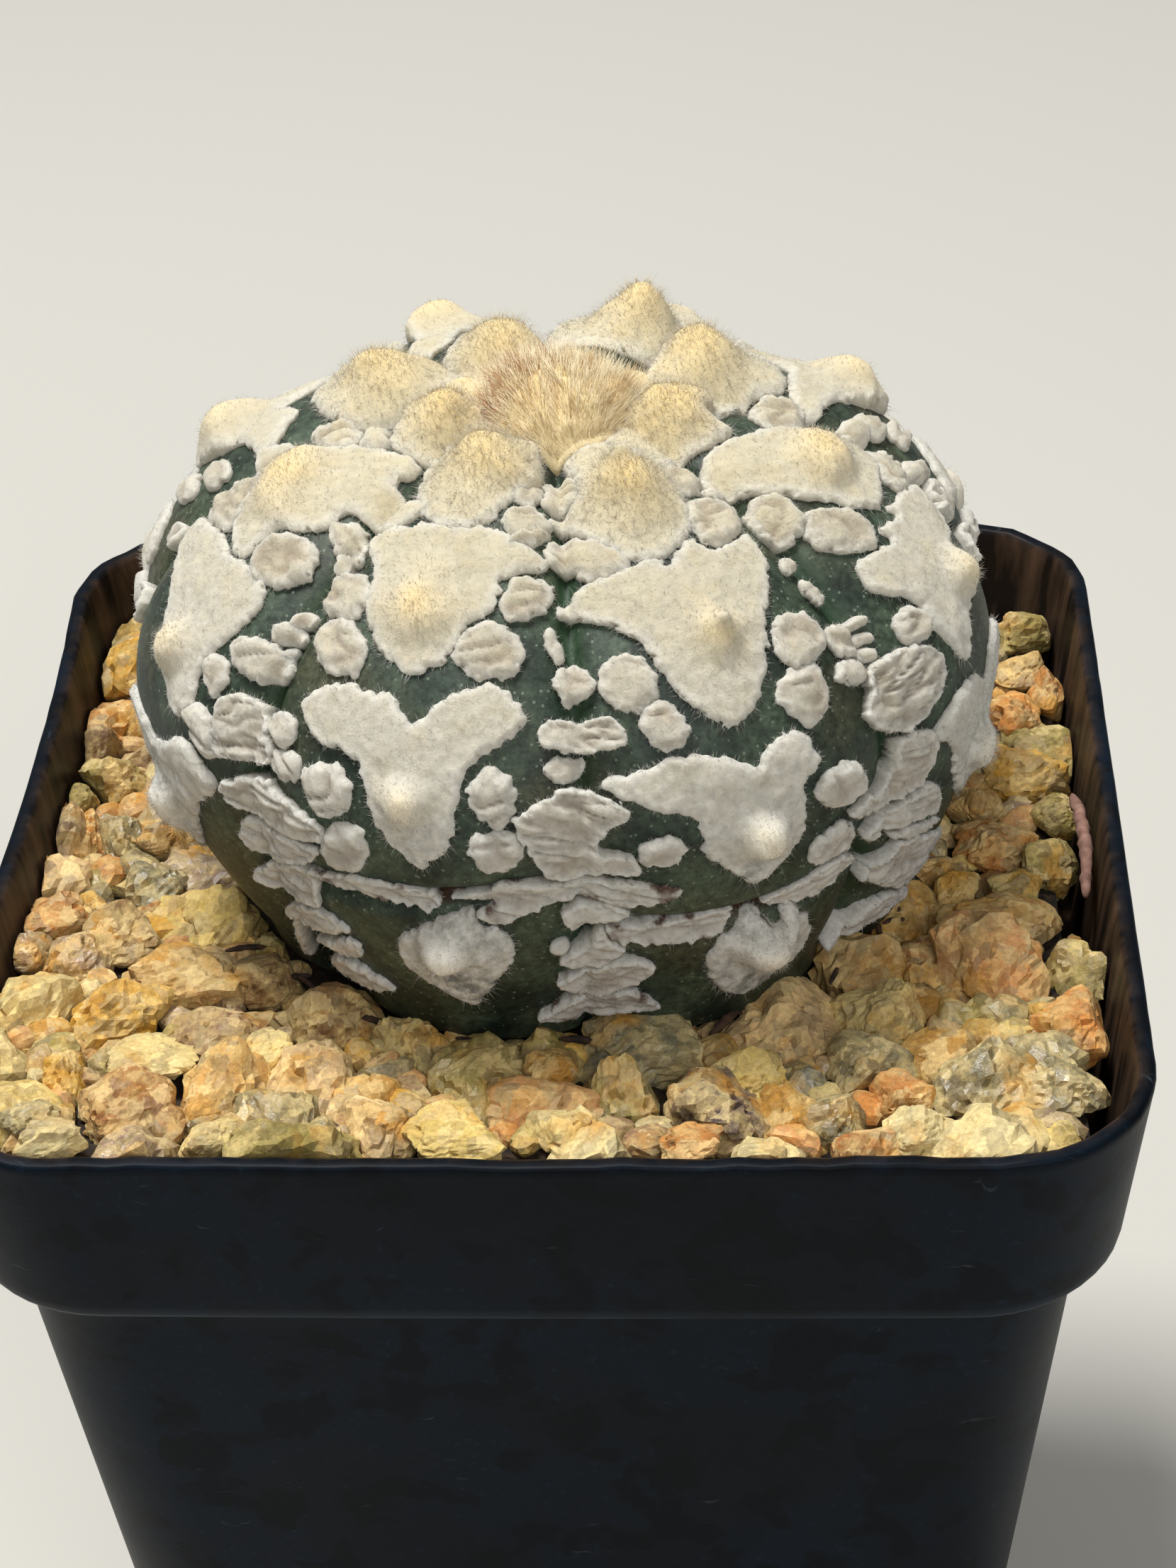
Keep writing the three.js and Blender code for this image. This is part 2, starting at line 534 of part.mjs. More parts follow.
// Grains that show in front of and beside the cactus, as [x, y, half width, half height, turn in degrees].
const shownGrains = [
  [-32.6, 2.7, 1.5, 2.9, 0], [-30.8, 3.3, 1.4, 2.7, 20], [-28.2, 3.3, 1.8, 2.7, 60],
  [-25.3, -2.4, 2.3, 2.3, 10], [-31, -7.2, 2.6, 1.3, 5], [-26.7, -9.1, 2.2, 1.5, 80],
  [-20.7, -6.7, 3.1, 2.7, 30], [-32, -11, 1.5, 1.2, 0], [-28.7, -11.2, 2.4, 1.9, 40],
  [-22.3, -13.5, 3.3, 1.7, -25], [-16.9, -13.5, 2.3, 2, 15], [-30.4, -15.9, 2.6, 3, 70],
  [-25.1, -17.4, 2.8, 1.9, 10], [-12.5, -17.2, 3.3, 2.2, 20], [-18.8, -19.4, 2.8, 1.7, -10],
  [-22.7, -22.5, 2.8, 1.2, 0], [-12.6, -23.1, 2.9, 3.2, 35], [-23.3, -27.9, 2.5, 1.9, 12],
  [-17.9, -25.7, 2.8, 2.4, 50], [-27.9, -29.2, 1.6, 1.4, 0], [-26.4, -31.8, 2, 1.1, 5],
  [-27.4, -23.6, 1.5, 2, 30], [-7.4, -20, 2.2, 2.9, 75], [-3.4, -23.6, 3.6, 3, 15],
  [-4.1, -31.2, 2.6, 1.2, 0], [-8.3, -29.3, 1.9, 1.9, 45], [1.3, -23.7, 1.4, 1.2, 0],
  [-15.7, -21.9, 1.6, 1.4, 20], [-17.7, -31.6, 1.6, 1.1, 0], [6.3, -21.4, 3.7, 2.1, -8],
  [5.1, -26, 2.4, 2.7, 60], [1.9, -30.2, 1.6, 1.5, 10], [10.2, -27.8, 3.1, 2, -12],
  [12, -24.9, 2.5, 1.4, 0], [14.7, -28, 1.4, 2.1, 80], [17.2, -29.1, 1.8, 1.9, 15],
  [14.3, -18.6, 3.7, 2.8, 25], [20.2, -17.4, 2.6, 2.5, 50], [19.1, -23.1, 2.3, 1.7, 0],
  [26.8, -12.7, 3.8, 3.3, 30], [28, -7.2, 3.2, 1.7, -5], [31, -18.5, 2.2, 2.2, 10],
  [31.4, -12, 1.6, 2.4, 85], [25.3, -24.9, 3.1, 2.6, 40], [29.9, -25.4, 2.4, 1.6, -20],
  [31, -0.2, 2, 2.1, 5], [27.7, 1.4, 2.6, 1.7, 15], [24.6, -4.1, 1.5, 1.5, 0], [30.9, 28.4, 2, 1.7, 0],
  [29.8, 17.1, 2, 1.9, 30], [32.2, 20, 1.3, 1.7, 60], [30, 10.3, 3.1, 2.2, -10], [30.6, 22.6, 1.9, 1.4, 0],
  [9.1, -32, 1.7, 1, 0], [21, -27.5, 1.7, 1.4, 20], [21.6, -30.8, 2, 1.3, 0], [28.8, -3.5, 1.5, 1.2, 0],
  [26.9, 6, 1.5, 1.5, 40], [31.6, 5, 1.5, 1.4, 0], [-31.6, 13.7, 1.3, 1.6, 10], [-28.8, 16.4, 1.4, 2, 50],
  [-29.7, 9.8, 2, 1.8, 0], [-32, 7.4, 1.4, 1.2, 0], [-25.8, 3, 1.5, 1.5, 30],
];

// A grain is a squashed and turned block with seeded bumps, seated with its upper part in view. The block
// is an icosahedron for the grains that show and a cube for those that fill the bed between them.
function grain(block, [x, y, wide, tall, turn], drop, random) {
  const geometry = mergeVertices(block.clone().deleteAttribute('normal').deleteAttribute('uv'));
  const place = geometry.attributes.position;
  for (let i = 0; i < place.count; i++) {
    const swell = 0.9 + 0.3 * random();
    place.setXYZ(i, place.getX(i) * swell, place.getY(i) * swell, place.getZ(i) * swell);
  }
  geometry.rotateX(random());
  geometry.rotateY(random());
  geometry.scale(wide, 0.55 * (wide + tall), tall);
  geometry.rotateZ(THREE.MathUtils.degToRad(turn * 0.4));
  geometry.translate(x, y, gravelLevel(y) + 0.4 - 0.8 * tall - drop);
  return solidOf(geometry);
}

function gravelGeometry() {
  const random = seeded(2027);
  const bedTop = (x, y) => gravelLevel(y) - bedBelowGrains;
  const innerBody = (z) => bodySide(z) - 2 * (wall + gap);
  const innerLip = (z) => lipSide(z) - 2 * (wall + gap);
  const corner = rimCorner - wall - gap;
  const shelf = ledge + gap;
  const foot = [
    squareRing(innerBody(soilTop + gap), corner - 1, soilTop + gap),
    squareRing(innerBody(shelf), corner - 1, shelf),
    squareRing(innerLip(shelf), corner, shelf),
  ];
  const bed = solidOf(loft([...foot, squareRing(innerLip(70), corner, bedTop)]));
  const inside = solidOf(loft([...foot, squareRing(innerLip(potHeight + 6), corner, potHeight + 6)]));
  const shownBlock = new THREE.IcosahedronGeometry(1, 0);
  const fillBlock = new THREE.BoxGeometry(1.25, 1.25, 1.25);
  const grains = shownGrains.map((entry) => grain(shownBlock, entry, 0, random));
  // More grains fill the rest of the bed on a loose grid, lower where they lie between the shown ones.
  const pitch = 5.1;
  const reach = rimSide / 2 - wall - 1.6;
  for (let row = 0; row * pitch <= 2 * reach; row++) {
    for (let column = 0; column * pitch <= 2 * reach; column++) {
      const x = -reach + (column + 0.5 * (row % 2)) * pitch + 1.2 * (random() - 0.5);
      const y = -reach + row * pitch + 1.2 * (random() - 0.5);
      const wide = 2.5 + 1.1 * random();
      const tall = wide * (0.65 + 0.25 * random());
      const turn = 180 * random();
      const away = Math.hypot(x - cactusPlace.x, y - cactusPlace.y);
      const nearest = Math.min(...shownGrains.map(([gx, gy, w]) => Math.hypot(x - gx, y - gy) - 0.8 * w));
      const atCorner = Math.hypot(Math.max(0, Math.abs(x) - 25), Math.max(0, Math.abs(y) - 25)) > 8;
      if (away > 20.5 && nearest > 1.1 && !atCorner && x < reach) {
        grains.push(grain(fillBlock, [x, y, wide, tall, turn], nearest > 3 ? 0 : 0.7, random));
      }
    }
  }
  const filled = fuse([bed, ...grains]).intersect(inside);
  const room = solidOf(placed(fuse([cactusRoom(), taproot(gap + 0.1)])));
  return geometryOf(largest(filled.subtract(room).subtract(solidOf(fibreGeometry(gap)))));
}

// Cuts can leave crumbs of grains loose from the bed: only the largest body is kept.
function largest(solid) {
  return solid.decompose().sort((a, b) => b.volume() - a.volume())[0];
}

// The crown tuft: a bristly dome of wool, its bottom following the sunken crown.
function woolGeometry() {
  const random = seeded(91);
  const radius = 3;
  const height = 3.4;
  const crown = shoulderRise - crownDip + gap;
  const rings = [[0.86, 0.2], [1, 1], [0.95, 2], [0.7, 2.9], [0.3, height]].map(([share, z]) => {
    const ring = [];
    for (let j = 0; j < 10; j++) {
      const angle = j / 10 * 2 * Math.PI;
      const r = radius * share * (0.92 + 0.16 * random());
      ring.push(new THREE.Vector3(r * Math.cos(angle), r * Math.sin(angle), crown + z));
    }
    return ring;
  });
  const tufts = [];
  for (let i = 0; i < 26; i++) {
    const lean = Math.sqrt((i + 0.5) / 26);
    const angle = i * 2.4;
    const tuft = new THREE.ConeGeometry(0.42, 2 + 0.8 * random(), 4);
    tuft.translate(0, 1, 0);
    tuft.rotateX(Math.PI / 2);
    tuft.rotateY(0.75 * lean);
    tuft.translate(radius * 0.72 * lean, 0, crown + 0.6 + (height - 1.2) * (1 - 0.55 * lean ** 2));
    tuft.rotateZ(angle);
    tufts.push(solidOf(tuft));
  }
  return placed(fuse([solidOf(loft(rings)), ...tufts]));
}

// A withered root fibre that lies on the gravel along the right wall.
function fibreGeometry(clearance) {
  const places = [[32.6, -6.5, 72.2], [32.8, -3.5, 73.4], [32.7, 0, 73.6], [32.5, 3.5, 72.9]];
  const line = new THREE.CatmullRomCurve3(places.map((p) => new THREE.Vector3(...p)));
  const section = new THREE.Shape();
  const sides = 5;
  for (let i = 0; i < sides; i++) {
    const angle = i / sides * 2 * Math.PI;
    const r = 0.45 + clearance;
    section[i ? 'lineTo' : 'moveTo'](r * Math.cos(angle), r * Math.sin(angle));
  }
  return new THREE.ExtrudeGeometry(section, { steps: 8, extrudePath: line });
}

const group = new THREE.Group();

function addPiece(name, geometry, look) {
  const mesh = new THREE.Mesh(geometry, look);
  mesh.name = name;
  group.add(mesh);
}

addPiece('pot', potGeometry(), blackPlastic);
addPiece('soil', soilGeometry(), darkSoil);
addPiece('gravel', gravelGeometry(), yellowGranite);
addPiece('cactus_body', placed(cactusGeometry()), greenSkin);
addPiece('crown_wool', woolGeometry(), tanWool);
addPiece('root_fibre', fibreGeometry(0), pinkBrownFibre);

export default group;
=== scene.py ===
# A potted star cactus: a dark green globe of eight ribs with raised white felt, in yellow granite gravel
# in a square black pot. Sizes are in millimetres and become metres where a mesh is made.
import math
import bpy
import numpy as np
from mathutils import Matrix, Vector


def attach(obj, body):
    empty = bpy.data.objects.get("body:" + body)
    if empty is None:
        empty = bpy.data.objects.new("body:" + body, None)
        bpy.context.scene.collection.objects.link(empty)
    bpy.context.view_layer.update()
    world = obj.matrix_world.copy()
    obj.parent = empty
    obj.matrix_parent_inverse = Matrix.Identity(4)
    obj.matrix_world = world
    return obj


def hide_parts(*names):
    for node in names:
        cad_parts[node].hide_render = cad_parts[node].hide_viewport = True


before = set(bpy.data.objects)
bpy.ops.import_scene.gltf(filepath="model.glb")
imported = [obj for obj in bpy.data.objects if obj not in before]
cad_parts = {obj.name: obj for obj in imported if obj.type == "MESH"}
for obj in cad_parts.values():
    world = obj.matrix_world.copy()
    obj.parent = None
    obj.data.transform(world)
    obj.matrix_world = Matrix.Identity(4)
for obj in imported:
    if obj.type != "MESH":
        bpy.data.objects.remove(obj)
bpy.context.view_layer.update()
metre = 0.001


# Camera.
cameraSet = {
    "place": (14.99, -177.14, 195.69),
    "pitchDown": 33.886,
    "yaw": -4.156,
    "roll": -2.748,
    "lens": 78.8,
    "sensor": 36,
}


def cameraAxes(k):
    # The camera's directions to the right, up and ahead.
    pitch, yaw, roll = (math.radians(k[name]) for name in ("pitchDown", "yaw", "roll"))
    ahead = Vector((math.sin(yaw) * math.cos(pitch), math.cos(yaw) * math.cos(pitch), -math.sin(pitch)))
    level = Vector((math.cos(yaw), -math.sin(yaw), 0))
    above = level.cross(ahead)
    right = math.cos(roll) * level + math.sin(roll) * above
    return right, math.cos(roll) * above - math.sin(roll) * level, ahead


def addCamera(k):
    right, up, ahead = cameraAxes(k)
    data = bpy.data.cameras.new("camera")
    data.lens = k["lens"]
    data.sensor_width = k["sensor"]
    data.clip_start = 0.01
    data.clip_end = 20
    camera = bpy.data.objects.new("camera", data)
    bpy.context.scene.collection.objects.link(camera)
    turn = Matrix((right, up, -ahead)).transposed().to_4x4()
    camera.matrix_world = Matrix.Translation(Vector(k["place"]) * metre) @ turn
    bpy.context.scene.camera = camera


addCamera(cameraSet)
print("camera set")


# Helpers for shapes.
def seeded(seed):
    # The same small number generator as the solids use, so that grains and flecks fall in the same places.
    state = seed

    def draw():
        nonlocal state
        state = state * 16807 % 2147483647
        return state / 2147483647

    return draw


lattice = np.random.RandomState(12).rand(64, 64, 64)


def softNoise(x, y, z=0.0, seed=0):
    # Smooth noise from 0 to 1: random values at whole-number places, blended with 3t^2 - 2t^3 between them.
    place = np.stack(np.broadcast_arrays(x, y, z)).astype(float) + seed * 17.31
    cell = np.floor(place).astype(int)
    part = place - cell
    part = part * part * (3 - 2 * part)
    total = 0
    for corner in range(8):
        dx, dy, dz = corner & 1, corner >> 1 & 1, corner >> 2
        share = abs(1 - dx - part[0]) * abs(1 - dy - part[1]) * abs(1 - dz - part[2])
        total = total + share * lattice[(cell[0] + dx) & 63, (cell[1] + dy) & 63, (cell[2] + dz) & 63]
    return total


def roughNoise(x, y, z=0.0, seed=0, layers=3):
    # Layers of soft noise, each half as high and twice as fine as the one before, scaled to 0 to 1.
    total, height = 0, 0
    for k in range(layers):
        total = total + softNoise(x * 2**k, y * 2**k, np.asarray(z) * 2**k, seed + k) / 2**k
        height += 1 / 2**k
    return total / height


def smoothStep(value, low, high):
    t = np.clip((value - low) / (high - low), 0, 1)
    return t * t * (3 - 2 * t)


def bell(away, width, power=2):
    # 1 in the middle, falling off by exp(-|away / width|^power).
    return np.exp(-(np.abs(away / width) ** power))


def turned(a, b, angle):
    # The coordinates a and b after a turn by an angle from a towards b.
    return a * np.cos(angle) - b * np.sin(angle), a * np.sin(angle) + b * np.cos(angle)


def cubic(a, b, c, d, t):
    # The Catmull-Rom cubic from b to c, with a before them and d after them.
    return 0.5 * (2 * b + (c - a) * t + (2 * a - 5 * b + 4 * c - d) * t**2 + (3 * b - a - 3 * c + d) * t**3)


def unit(vectors):
    return vectors / np.maximum(np.linalg.norm(vectors, axis=-1, keepdims=True), 1e-9)


def gridFaces(rows, columns, closed):
    # Quads of a grid whose points run row by row. closed joins the last column to the first.
    row = np.arange(rows - 1)[:, None]
    column = np.arange(columns if closed else columns - 1)[None, :]
    after = (column + 1) % columns
    a, b = row * columns + column, row * columns + after
    return np.stack([a, a + columns, b + columns, b], -1).reshape(-1, 4)


def asTriangles(quads):
    return np.concatenate([quads[:, [0, 1, 2]], quads[:, [0, 2, 3]]])


def compact(points, faces, values=None):
    # Drops the points that no face uses.
    used, inverse = np.unique(faces, return_inverse=True)
    kept = {name: value[used] for name, value in (values or {}).items()}
    return points[used], inverse.reshape(faces.shape), kept


def closedSheet(triangles, layers, values):
    # Layers of equal point lists from the top of a sheet to its underside. The first carries the triangles,
    # the last carries them turned over, and walls along the open edges join each layer to the next.
    n = len(layers[0])
    edges = np.concatenate([triangles[:, [0, 1]], triangles[:, [1, 2]], triangles[:, [2, 0]]])
    key = np.sort(edges, axis=1) @ np.array([n, 1])
    _, first, count = np.unique(key, return_index=True, return_counts=True)
    rim = edges[first[count == 1]]
    faces = [triangles, triangles[:, ::-1] + n * (len(layers) - 1)]
    for k in range(len(layers) - 1):
        a, b = rim[:, 0] + k * n, rim[:, 1] + k * n
        faces += [np.stack([a, a + n, b + n], 1), np.stack([a, b + n, b], 1)]
    tiled = {name: np.tile(value, len(layers)) for name, value in values.items()}
    return compact(np.concatenate(layers), np.concatenate(faces), tiled)


def joined(parts):
    # Joins (points, faces, values) parts with the same kind of faces into one.
    counts = np.cumsum([0] + [len(p) for p, _, _ in parts[:-1]])
    points = np.concatenate([p for p, _, _ in parts])
    faces = np.concatenate([f + start for (_, f, _), start in zip(parts, counts)])
    values = {name: np.concatenate([v[name] for _, _, v in parts]) for name in parts[0][2]}
    return points, faces, values


def addPiece(name, points, faces, material, slot, values=None, replaces=(), smooth=True):
    # Points are in millimetres. values holds one number or one linear colour for each point.
    mesh = bpy.data.meshes.new(name)
    mesh.vertices.add(len(points))
    mesh.vertices.foreach_set("co", (points * metre).astype(np.float32).ravel())
    mesh.loops.add(faces.size)
    mesh.loops.foreach_set("vertex_index", faces.astype(np.int32).ravel())
    mesh.polygons.add(len(faces))
    corners = faces.shape[1]
    mesh.polygons.foreach_set("loop_start", np.arange(0, faces.size, corners, dtype=np.int32))
    mesh.polygons.foreach_set("use_smooth", np.full(len(faces), smooth))
    mesh.update(calc_edges=True)
    mesh.validate()
    for key, value in (values or {}).items():
        kind, field = ("FLOAT_COLOR", "color") if value.ndim == 2 else ("FLOAT", "value")
        mesh.attributes.new(key, kind, "POINT").data.foreach_set(field, value.astype(np.float32).ravel())
    mesh.materials.append(material)
    piece = bpy.data.objects.new(name, mesh)
    bpy.context.scene.collection.objects.link(piece)
    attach(piece, "root")
    if replaces:
        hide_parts(*replaces)
    print(f"{name}: {len(faces) * (corners - 2)} triangles")
    return piece


# Helpers for materials.
def toLinear(code):
    # An sRGB hex colour as linear red, green, blue and a full alpha.
    parts = [int(code[k:k + 2], 16) / 255 for k in (1, 3, 5)]
    return tuple(p / 12.92 if p <= 0.04045 else ((p + 0.055) / 1.055) ** 2.4 for p in parts) + (1.0,)


def fillSockets(tree, node, settings):
    # A key is a socket's name or number, or else a property of the node. A value is a plain one, an sRGB
    # code, or the socket or node that feeds it. stops are the places and colours of a colour ramp.
    for key, value in settings.items():
        if isinstance(value, bpy.types.Node):
            value = value.outputs[0]
        if key == "stops":
            ramp = node.color_ramp
            while len(ramp.elements) < len(value):
                ramp.elements.new(0.5)
            for element, (place, colour) in zip(ramp.elements, value):
                element.position = place
                element.color = toLinear(colour) if isinstance(colour, str) else (colour,) * 3 + (1,)
        elif not isinstance(key, int) and key not in node.inputs:
            setattr(node, key, value)
        elif isinstance(value, bpy.types.NodeSocket):
            tree.links.new(value, node.inputs[key])
        else:
            node.inputs[key].default_value = toLinear(value) if isinstance(value, str) else value


def addNode(tree, kind, settings=None):
    node = tree.nodes.new("ShaderNode" + kind)
    fillSockets(tree, node, settings or {})
    return node


def newMaterial(name, settings):
    # A material with one principled shader whose constant sockets are set. Returns it, its tree and shader.
    material = bpy.data.materials.new(name)
    material.use_nodes = True
    shader = material.node_tree.nodes["Principled BSDF"]
    fillSockets(material.node_tree, shader, settings)
    return material, material.node_tree, shader


def perMetre(size):
    # The noise scale whose features are size millimetres wide.
    return 1 / (size * metre)


def layered(tree, colour, layers, blend="MIX"):
    # Lays other colours over a colour in turn, each by its share. All of them are values, nodes or sockets.
    for share, over in layers:
        settings = {"data_type": "RGBA", "blend_type": blend, 0: share, 6: colour, 7: over}
        colour = addNode(tree, "Mix", settings).outputs[2]
    return colour


def mottledMaterial(name, roughness, size, detail, stops, deep=0):
    # A matt material whose colour runs along the stops by noise of one size. deep is the height of its
    # bumps. Both are in millimetres.
    material, tree, shader = newMaterial(name, {"Roughness": roughness})
    where = addNode(tree, "TexCoord").outputs["Object"]
    mottle = addNode(tree, "TexNoise", {"Scale": perMetre(size), "Detail": detail, "Vector": where})
    colour = addNode(tree, "ValToRGB", {"stops": stops, 0: mottle})
    fillSockets(tree, shader, {"Base Color": colour})
    if deep:
        bump = addNode(tree, "Bump", {"Strength": 0.8, "Distance": deep * metre, "Height": mottle})
        fillSockets(tree, shader, {"Normal": bump})
    return material


# The globe's outline and relief, as in the solids.
globeSet = {
    "ribs": 8,
    "radius": 26.2,
    "rise": 16,
    "dip": 2.15,
    "dipWidth": 7.1,
    "drop": 14.6,
    "footRadius": 22,
    "leftSlimming": 1.8,
    "ribDepth": 1.5,
    "grooveShape": 2.6,  # the higher, the narrower the grooves between the ribs
    "foldDepth": 1.1,
    "foldWidth": 0.8,
    "lean": -1.85,
    "spin": 5.5,
    "place": (0.9, 1.3, 87.6),
    "creaseDepth": 0.5,  # the sharp line at the bottom of each groove, which the solids leave out
    "creaseWidth": 0.4,
}
folds = [(0, 37.6, -0.12), (1, 40.2, 0)]  # rib, place down the crest, growth a millimetre sideways


def outlineTable(g):
    # Radius and height against the distance s from the crown: an ellipse less a bell-shaped dip, and below
    # the equator a flank that draws in by 0.45 t + 0.55 t^2.6.
    angle = np.pi / 2 * (1 - np.linspace(0, 1, 121))
    r = g["radius"] * np.cos(angle)
    z = g["rise"] * np.sin(angle) - g["dip"] * bell(r, g["dipWidth"])
    t = np.arange(1, 121) / 120
    drawIn = 0.45 * t + 0.55 * t**2.6
    r = np.concatenate([r, g["radius"] - (g["radius"] - g["footRadius"]) * drawIn])
    z = np.concatenate([z, -g["drop"] * t])
    s = np.concatenate([[0], np.cumsum(np.hypot(np.diff(r), np.diff(z)))])
    return s, r, z, -np.gradient(z, s), np.gradient(r, s)


outline = outlineTable(globeSet)
outlineLength = outline[0][-1]


def outlineAt(s):
    return [np.interp(s, outline[0], column) for column in outline[1:]]


def crestAngle(rib):
    return -np.pi / 2 + (rib - 0.5) * 2 * np.pi / globeSet["ribs"] + math.radians(globeSet["spin"])


def reliefAt(angle, s, r):
    # Height of the skin over the smooth outline: minus depth times share^2.6, where share runs from 0 at a
    # crest to 1 in a groove, less a bell-shaped line in each groove and one along each pinched fold.
    g = globeSet
    ribAngle = 2 * np.pi / g["ribs"]
    turns = (angle - crestAngle(0)) / ribAngle
    share = np.abs(turns - np.round(turns)) * 2
    depth = g["ribDepth"] * np.minimum(1, s / 8) * (1 + 0.35 * smoothStep(s, 34, 46))
    fromGroove = (1 - share) * ribAngle / 2 * r
    crease = g["creaseDepth"] * np.minimum(1, s / 14) * bell(fromGroove, g["creaseWidth"])
    height = -depth * share ** g["grooveShape"] - crease
    pinch = np.zeros_like(height)
    for rib, middle, slope in folds:
        away = turns - rib
        sideways = (away - np.round(away / g["ribs"]) * g["ribs"]) * ribAngle * r
        along = 1 - smoothStep(np.abs(sideways), 7, 11)
        pinch = np.maximum(pinch, along * bell(s - middle - slope * sideways, g["foldWidth"]))
    return height - g["foldDepth"] * pinch, share, pinch


def skinPoint(angle, s, lift):
    # A point of the skin, lifted along the outline's outward direction, in the body's own upright frame.
    r, z, outR, outZ = outlineAt(s)
    height = reliefAt(angle, s, r)[0] + lift
    below = np.maximum(0, -z / globeSet["drop"])
    towardsLeft = np.maximum(0, -np.cos(angle))
    reach = r - globeSet["leftSlimming"] * below**2 * towardsLeft**2 + height * outR
    return np.stack([reach * np.cos(angle), reach * np.sin(angle), z + height * outZ], -1)


def ribPoint(rib, s, x, lift):
    # A place on a rib: s down the crest and x sideways along the skin.
    r = np.maximum(outlineAt(s)[0], 1)
    return skinPoint(crestAngle(rib) + x / r, s, lift)


def placed(points):
    # Leans the upright body back about the x axis and moves it to its place in the pot.
    y, z = turned(points[..., 1], points[..., 2], math.radians(globeSet["lean"]))
    return np.stack([points[..., 0], y, z], -1) + np.array(globeSet["place"])


# Places in the photo, in its own pixels.
photoSet = {
    "size": (1659, 2212),
    "stepDown": 0.15,
    "stepRound": 0.4,
    "feltHeight": 0.45,
}


def facingSkin(k):
    # The felt's mean height as a fine grid of angle and distance from the crown, with grooves half as deep
    # as the skin's, and the pixel that shows each of its points. Only what faces the camera is kept.
    s = np.arange(0.5, outlineLength, k["stepDown"])
    s, angle = np.meshgrid(s, np.radians(np.arange(0, 360, k["stepRound"])), indexing="ij")
    relief, share, _ = reliefAt(angle, s, outlineAt(s)[0])
    grooves = 0.5 * globeSet["ribDepth"] * share ** globeSet["grooveShape"]
    points = placed(skinPoint(angle, s, k["feltHeight"] - relief - grooves))
    outward = np.cross(np.gradient(points, axis=0), np.gradient(points, axis=1))
    toCamera = np.array(cameraSet["place"]) - points
    seen = (outward * toCamera).sum(-1) > 0
    right, up, ahead = (np.array(axis) for axis in cameraAxes(cameraSet))
    wide, high = k["size"]
    focal = cameraSet["lens"] / cameraSet["sensor"] * high / (-toCamera[seen] @ ahead)
    across = wide / 2 - focal * (toCamera[seen] @ right)
    return np.column_stack([across, high / 2 + focal * (toCamera[seen] @ up)]), angle[seen], s[seen]


facing = facingSkin(photoSet)


def onSkin(pixels, rib=None):
    # The places on a rib that pixels of the photo show, as s and x: the nearest point of the facing skin.
    # Without a rib it is the one whose crest is nearest to them.
    nearest = [np.argmin(((facing[0] - pixel) ** 2).sum(1)) for pixel in pixels]
    angle, s = facing[1][nearest], facing[2][nearest]
    if rib is None:
        middle = np.angle(np.exp(1j * angle).mean())
        rib = round((middle - crestAngle(0)) * globeSet["ribs"] / (2 * math.pi)) % globeSet["ribs"]
    sideways = np.angle(np.exp(1j * (angle - crestAngle(rib)))) * np.maximum(outlineAt(s)[0], 1)
    return rib, np.column_stack([s, sideways])


# Skin.
skinSet = {
    "columnsPerRib": 38,
    "swell": 0.16,
    "underside": ((0.97, -16), (0.86, -17.4), (0.66, -19.2), (0.4, -20.6), (0.02, -21)),
    "grainSize": 0.5,
    "grainDeep": 0.1,
    "mottleSize": 3.5,
    "cloudSize": 9,
    "poreSpacing": 0.55,
    "poreGrey": "#8b9681",
    "green": "#1f2b22",
    "paleGreen": "#445140",
    "olive": "#4b4a35",
    "grooveGreen": "#1f3d20",
    "brown": "#3b2415",
}


def skinMaterial(k):
    # Waxy living epidermis: a soft dull sheen over fine cell grain, greener in the shaded grooves, with dead
    # brown cork along the pinched folds.
    material, tree, shader = newMaterial("waxyEpidermis", {
        "Roughness": 0.55, "Specular IOR Level": 0.35, "Subsurface Weight": 0.06, "Subsurface Scale": 0.001,
    })
    where = addNode(tree, "TexCoord").outputs["Object"]
    mottle, grain, cloud = (
        addNode(tree, "TexNoise", {"Scale": perMetre(k[size]), "Detail": detail, "Roughness": rough,
                                   "Vector": where})
        for size, detail, rough in (("mottleSize", 5, 0.5), ("grainSize", 5, 0.7), ("cloudSize", 3, 0.5)))
    groove, fold = (addNode(tree, "Attribute", {"attribute_name": name}).outputs["Fac"]
                    for name in ("groove", "fold"))
    skin = addNode(tree, "ValToRGB", {"stops": [(0.38, k["green"]), (0.64, k["paleGreen"])], 0: mottle})
    dull = addNode(tree, "ValToRGB", {"stops": [(0.5, 0.0), (0.68, 0.7)], 0: cloud})
    skin = layered(tree, skin, [(dull, k["olive"])])
    speckle = addNode(tree, "ValToRGB", {"stops": [(0.36, 0.42), (0.64, 1.5)], 0: grain})
    skin = layered(tree, skin, [(0.9, speckle)], "MULTIPLY")
    pores = addNode(tree, "TexVoronoi", {"Scale": perMetre(k["poreSpacing"]), "Vector": where})
    dust = addNode(tree, "ValToRGB", {"stops": [(0.1, 0.5), (0.2, 0.0)], 0: pores.outputs["Distance"]})
    greener = addNode(tree, "Math", {"operation": "MULTIPLY", 0: groove, 1: 0.7})
    scar = addNode(tree, "Math", {"operation": "MULTIPLY", "use_clamp": True, 0: fold, 1: mottle})
    scar = addNode(tree, "ValToRGB", {"stops": [(0.28, 0.0), (0.5, 1.0)], 0: scar})
    skin = layered(tree, skin, [(dust, k["poreGrey"]), (greener, k["grooveGreen"]), (scar, k["brown"])])
    bump = addNode(tree, "Bump", {"Strength": 0.5, "Distance": k["grainDeep"] * metre, "Height": grain})
    fillSockets(tree, shader, {"Base Color": skin, "Normal": bump})
    return material


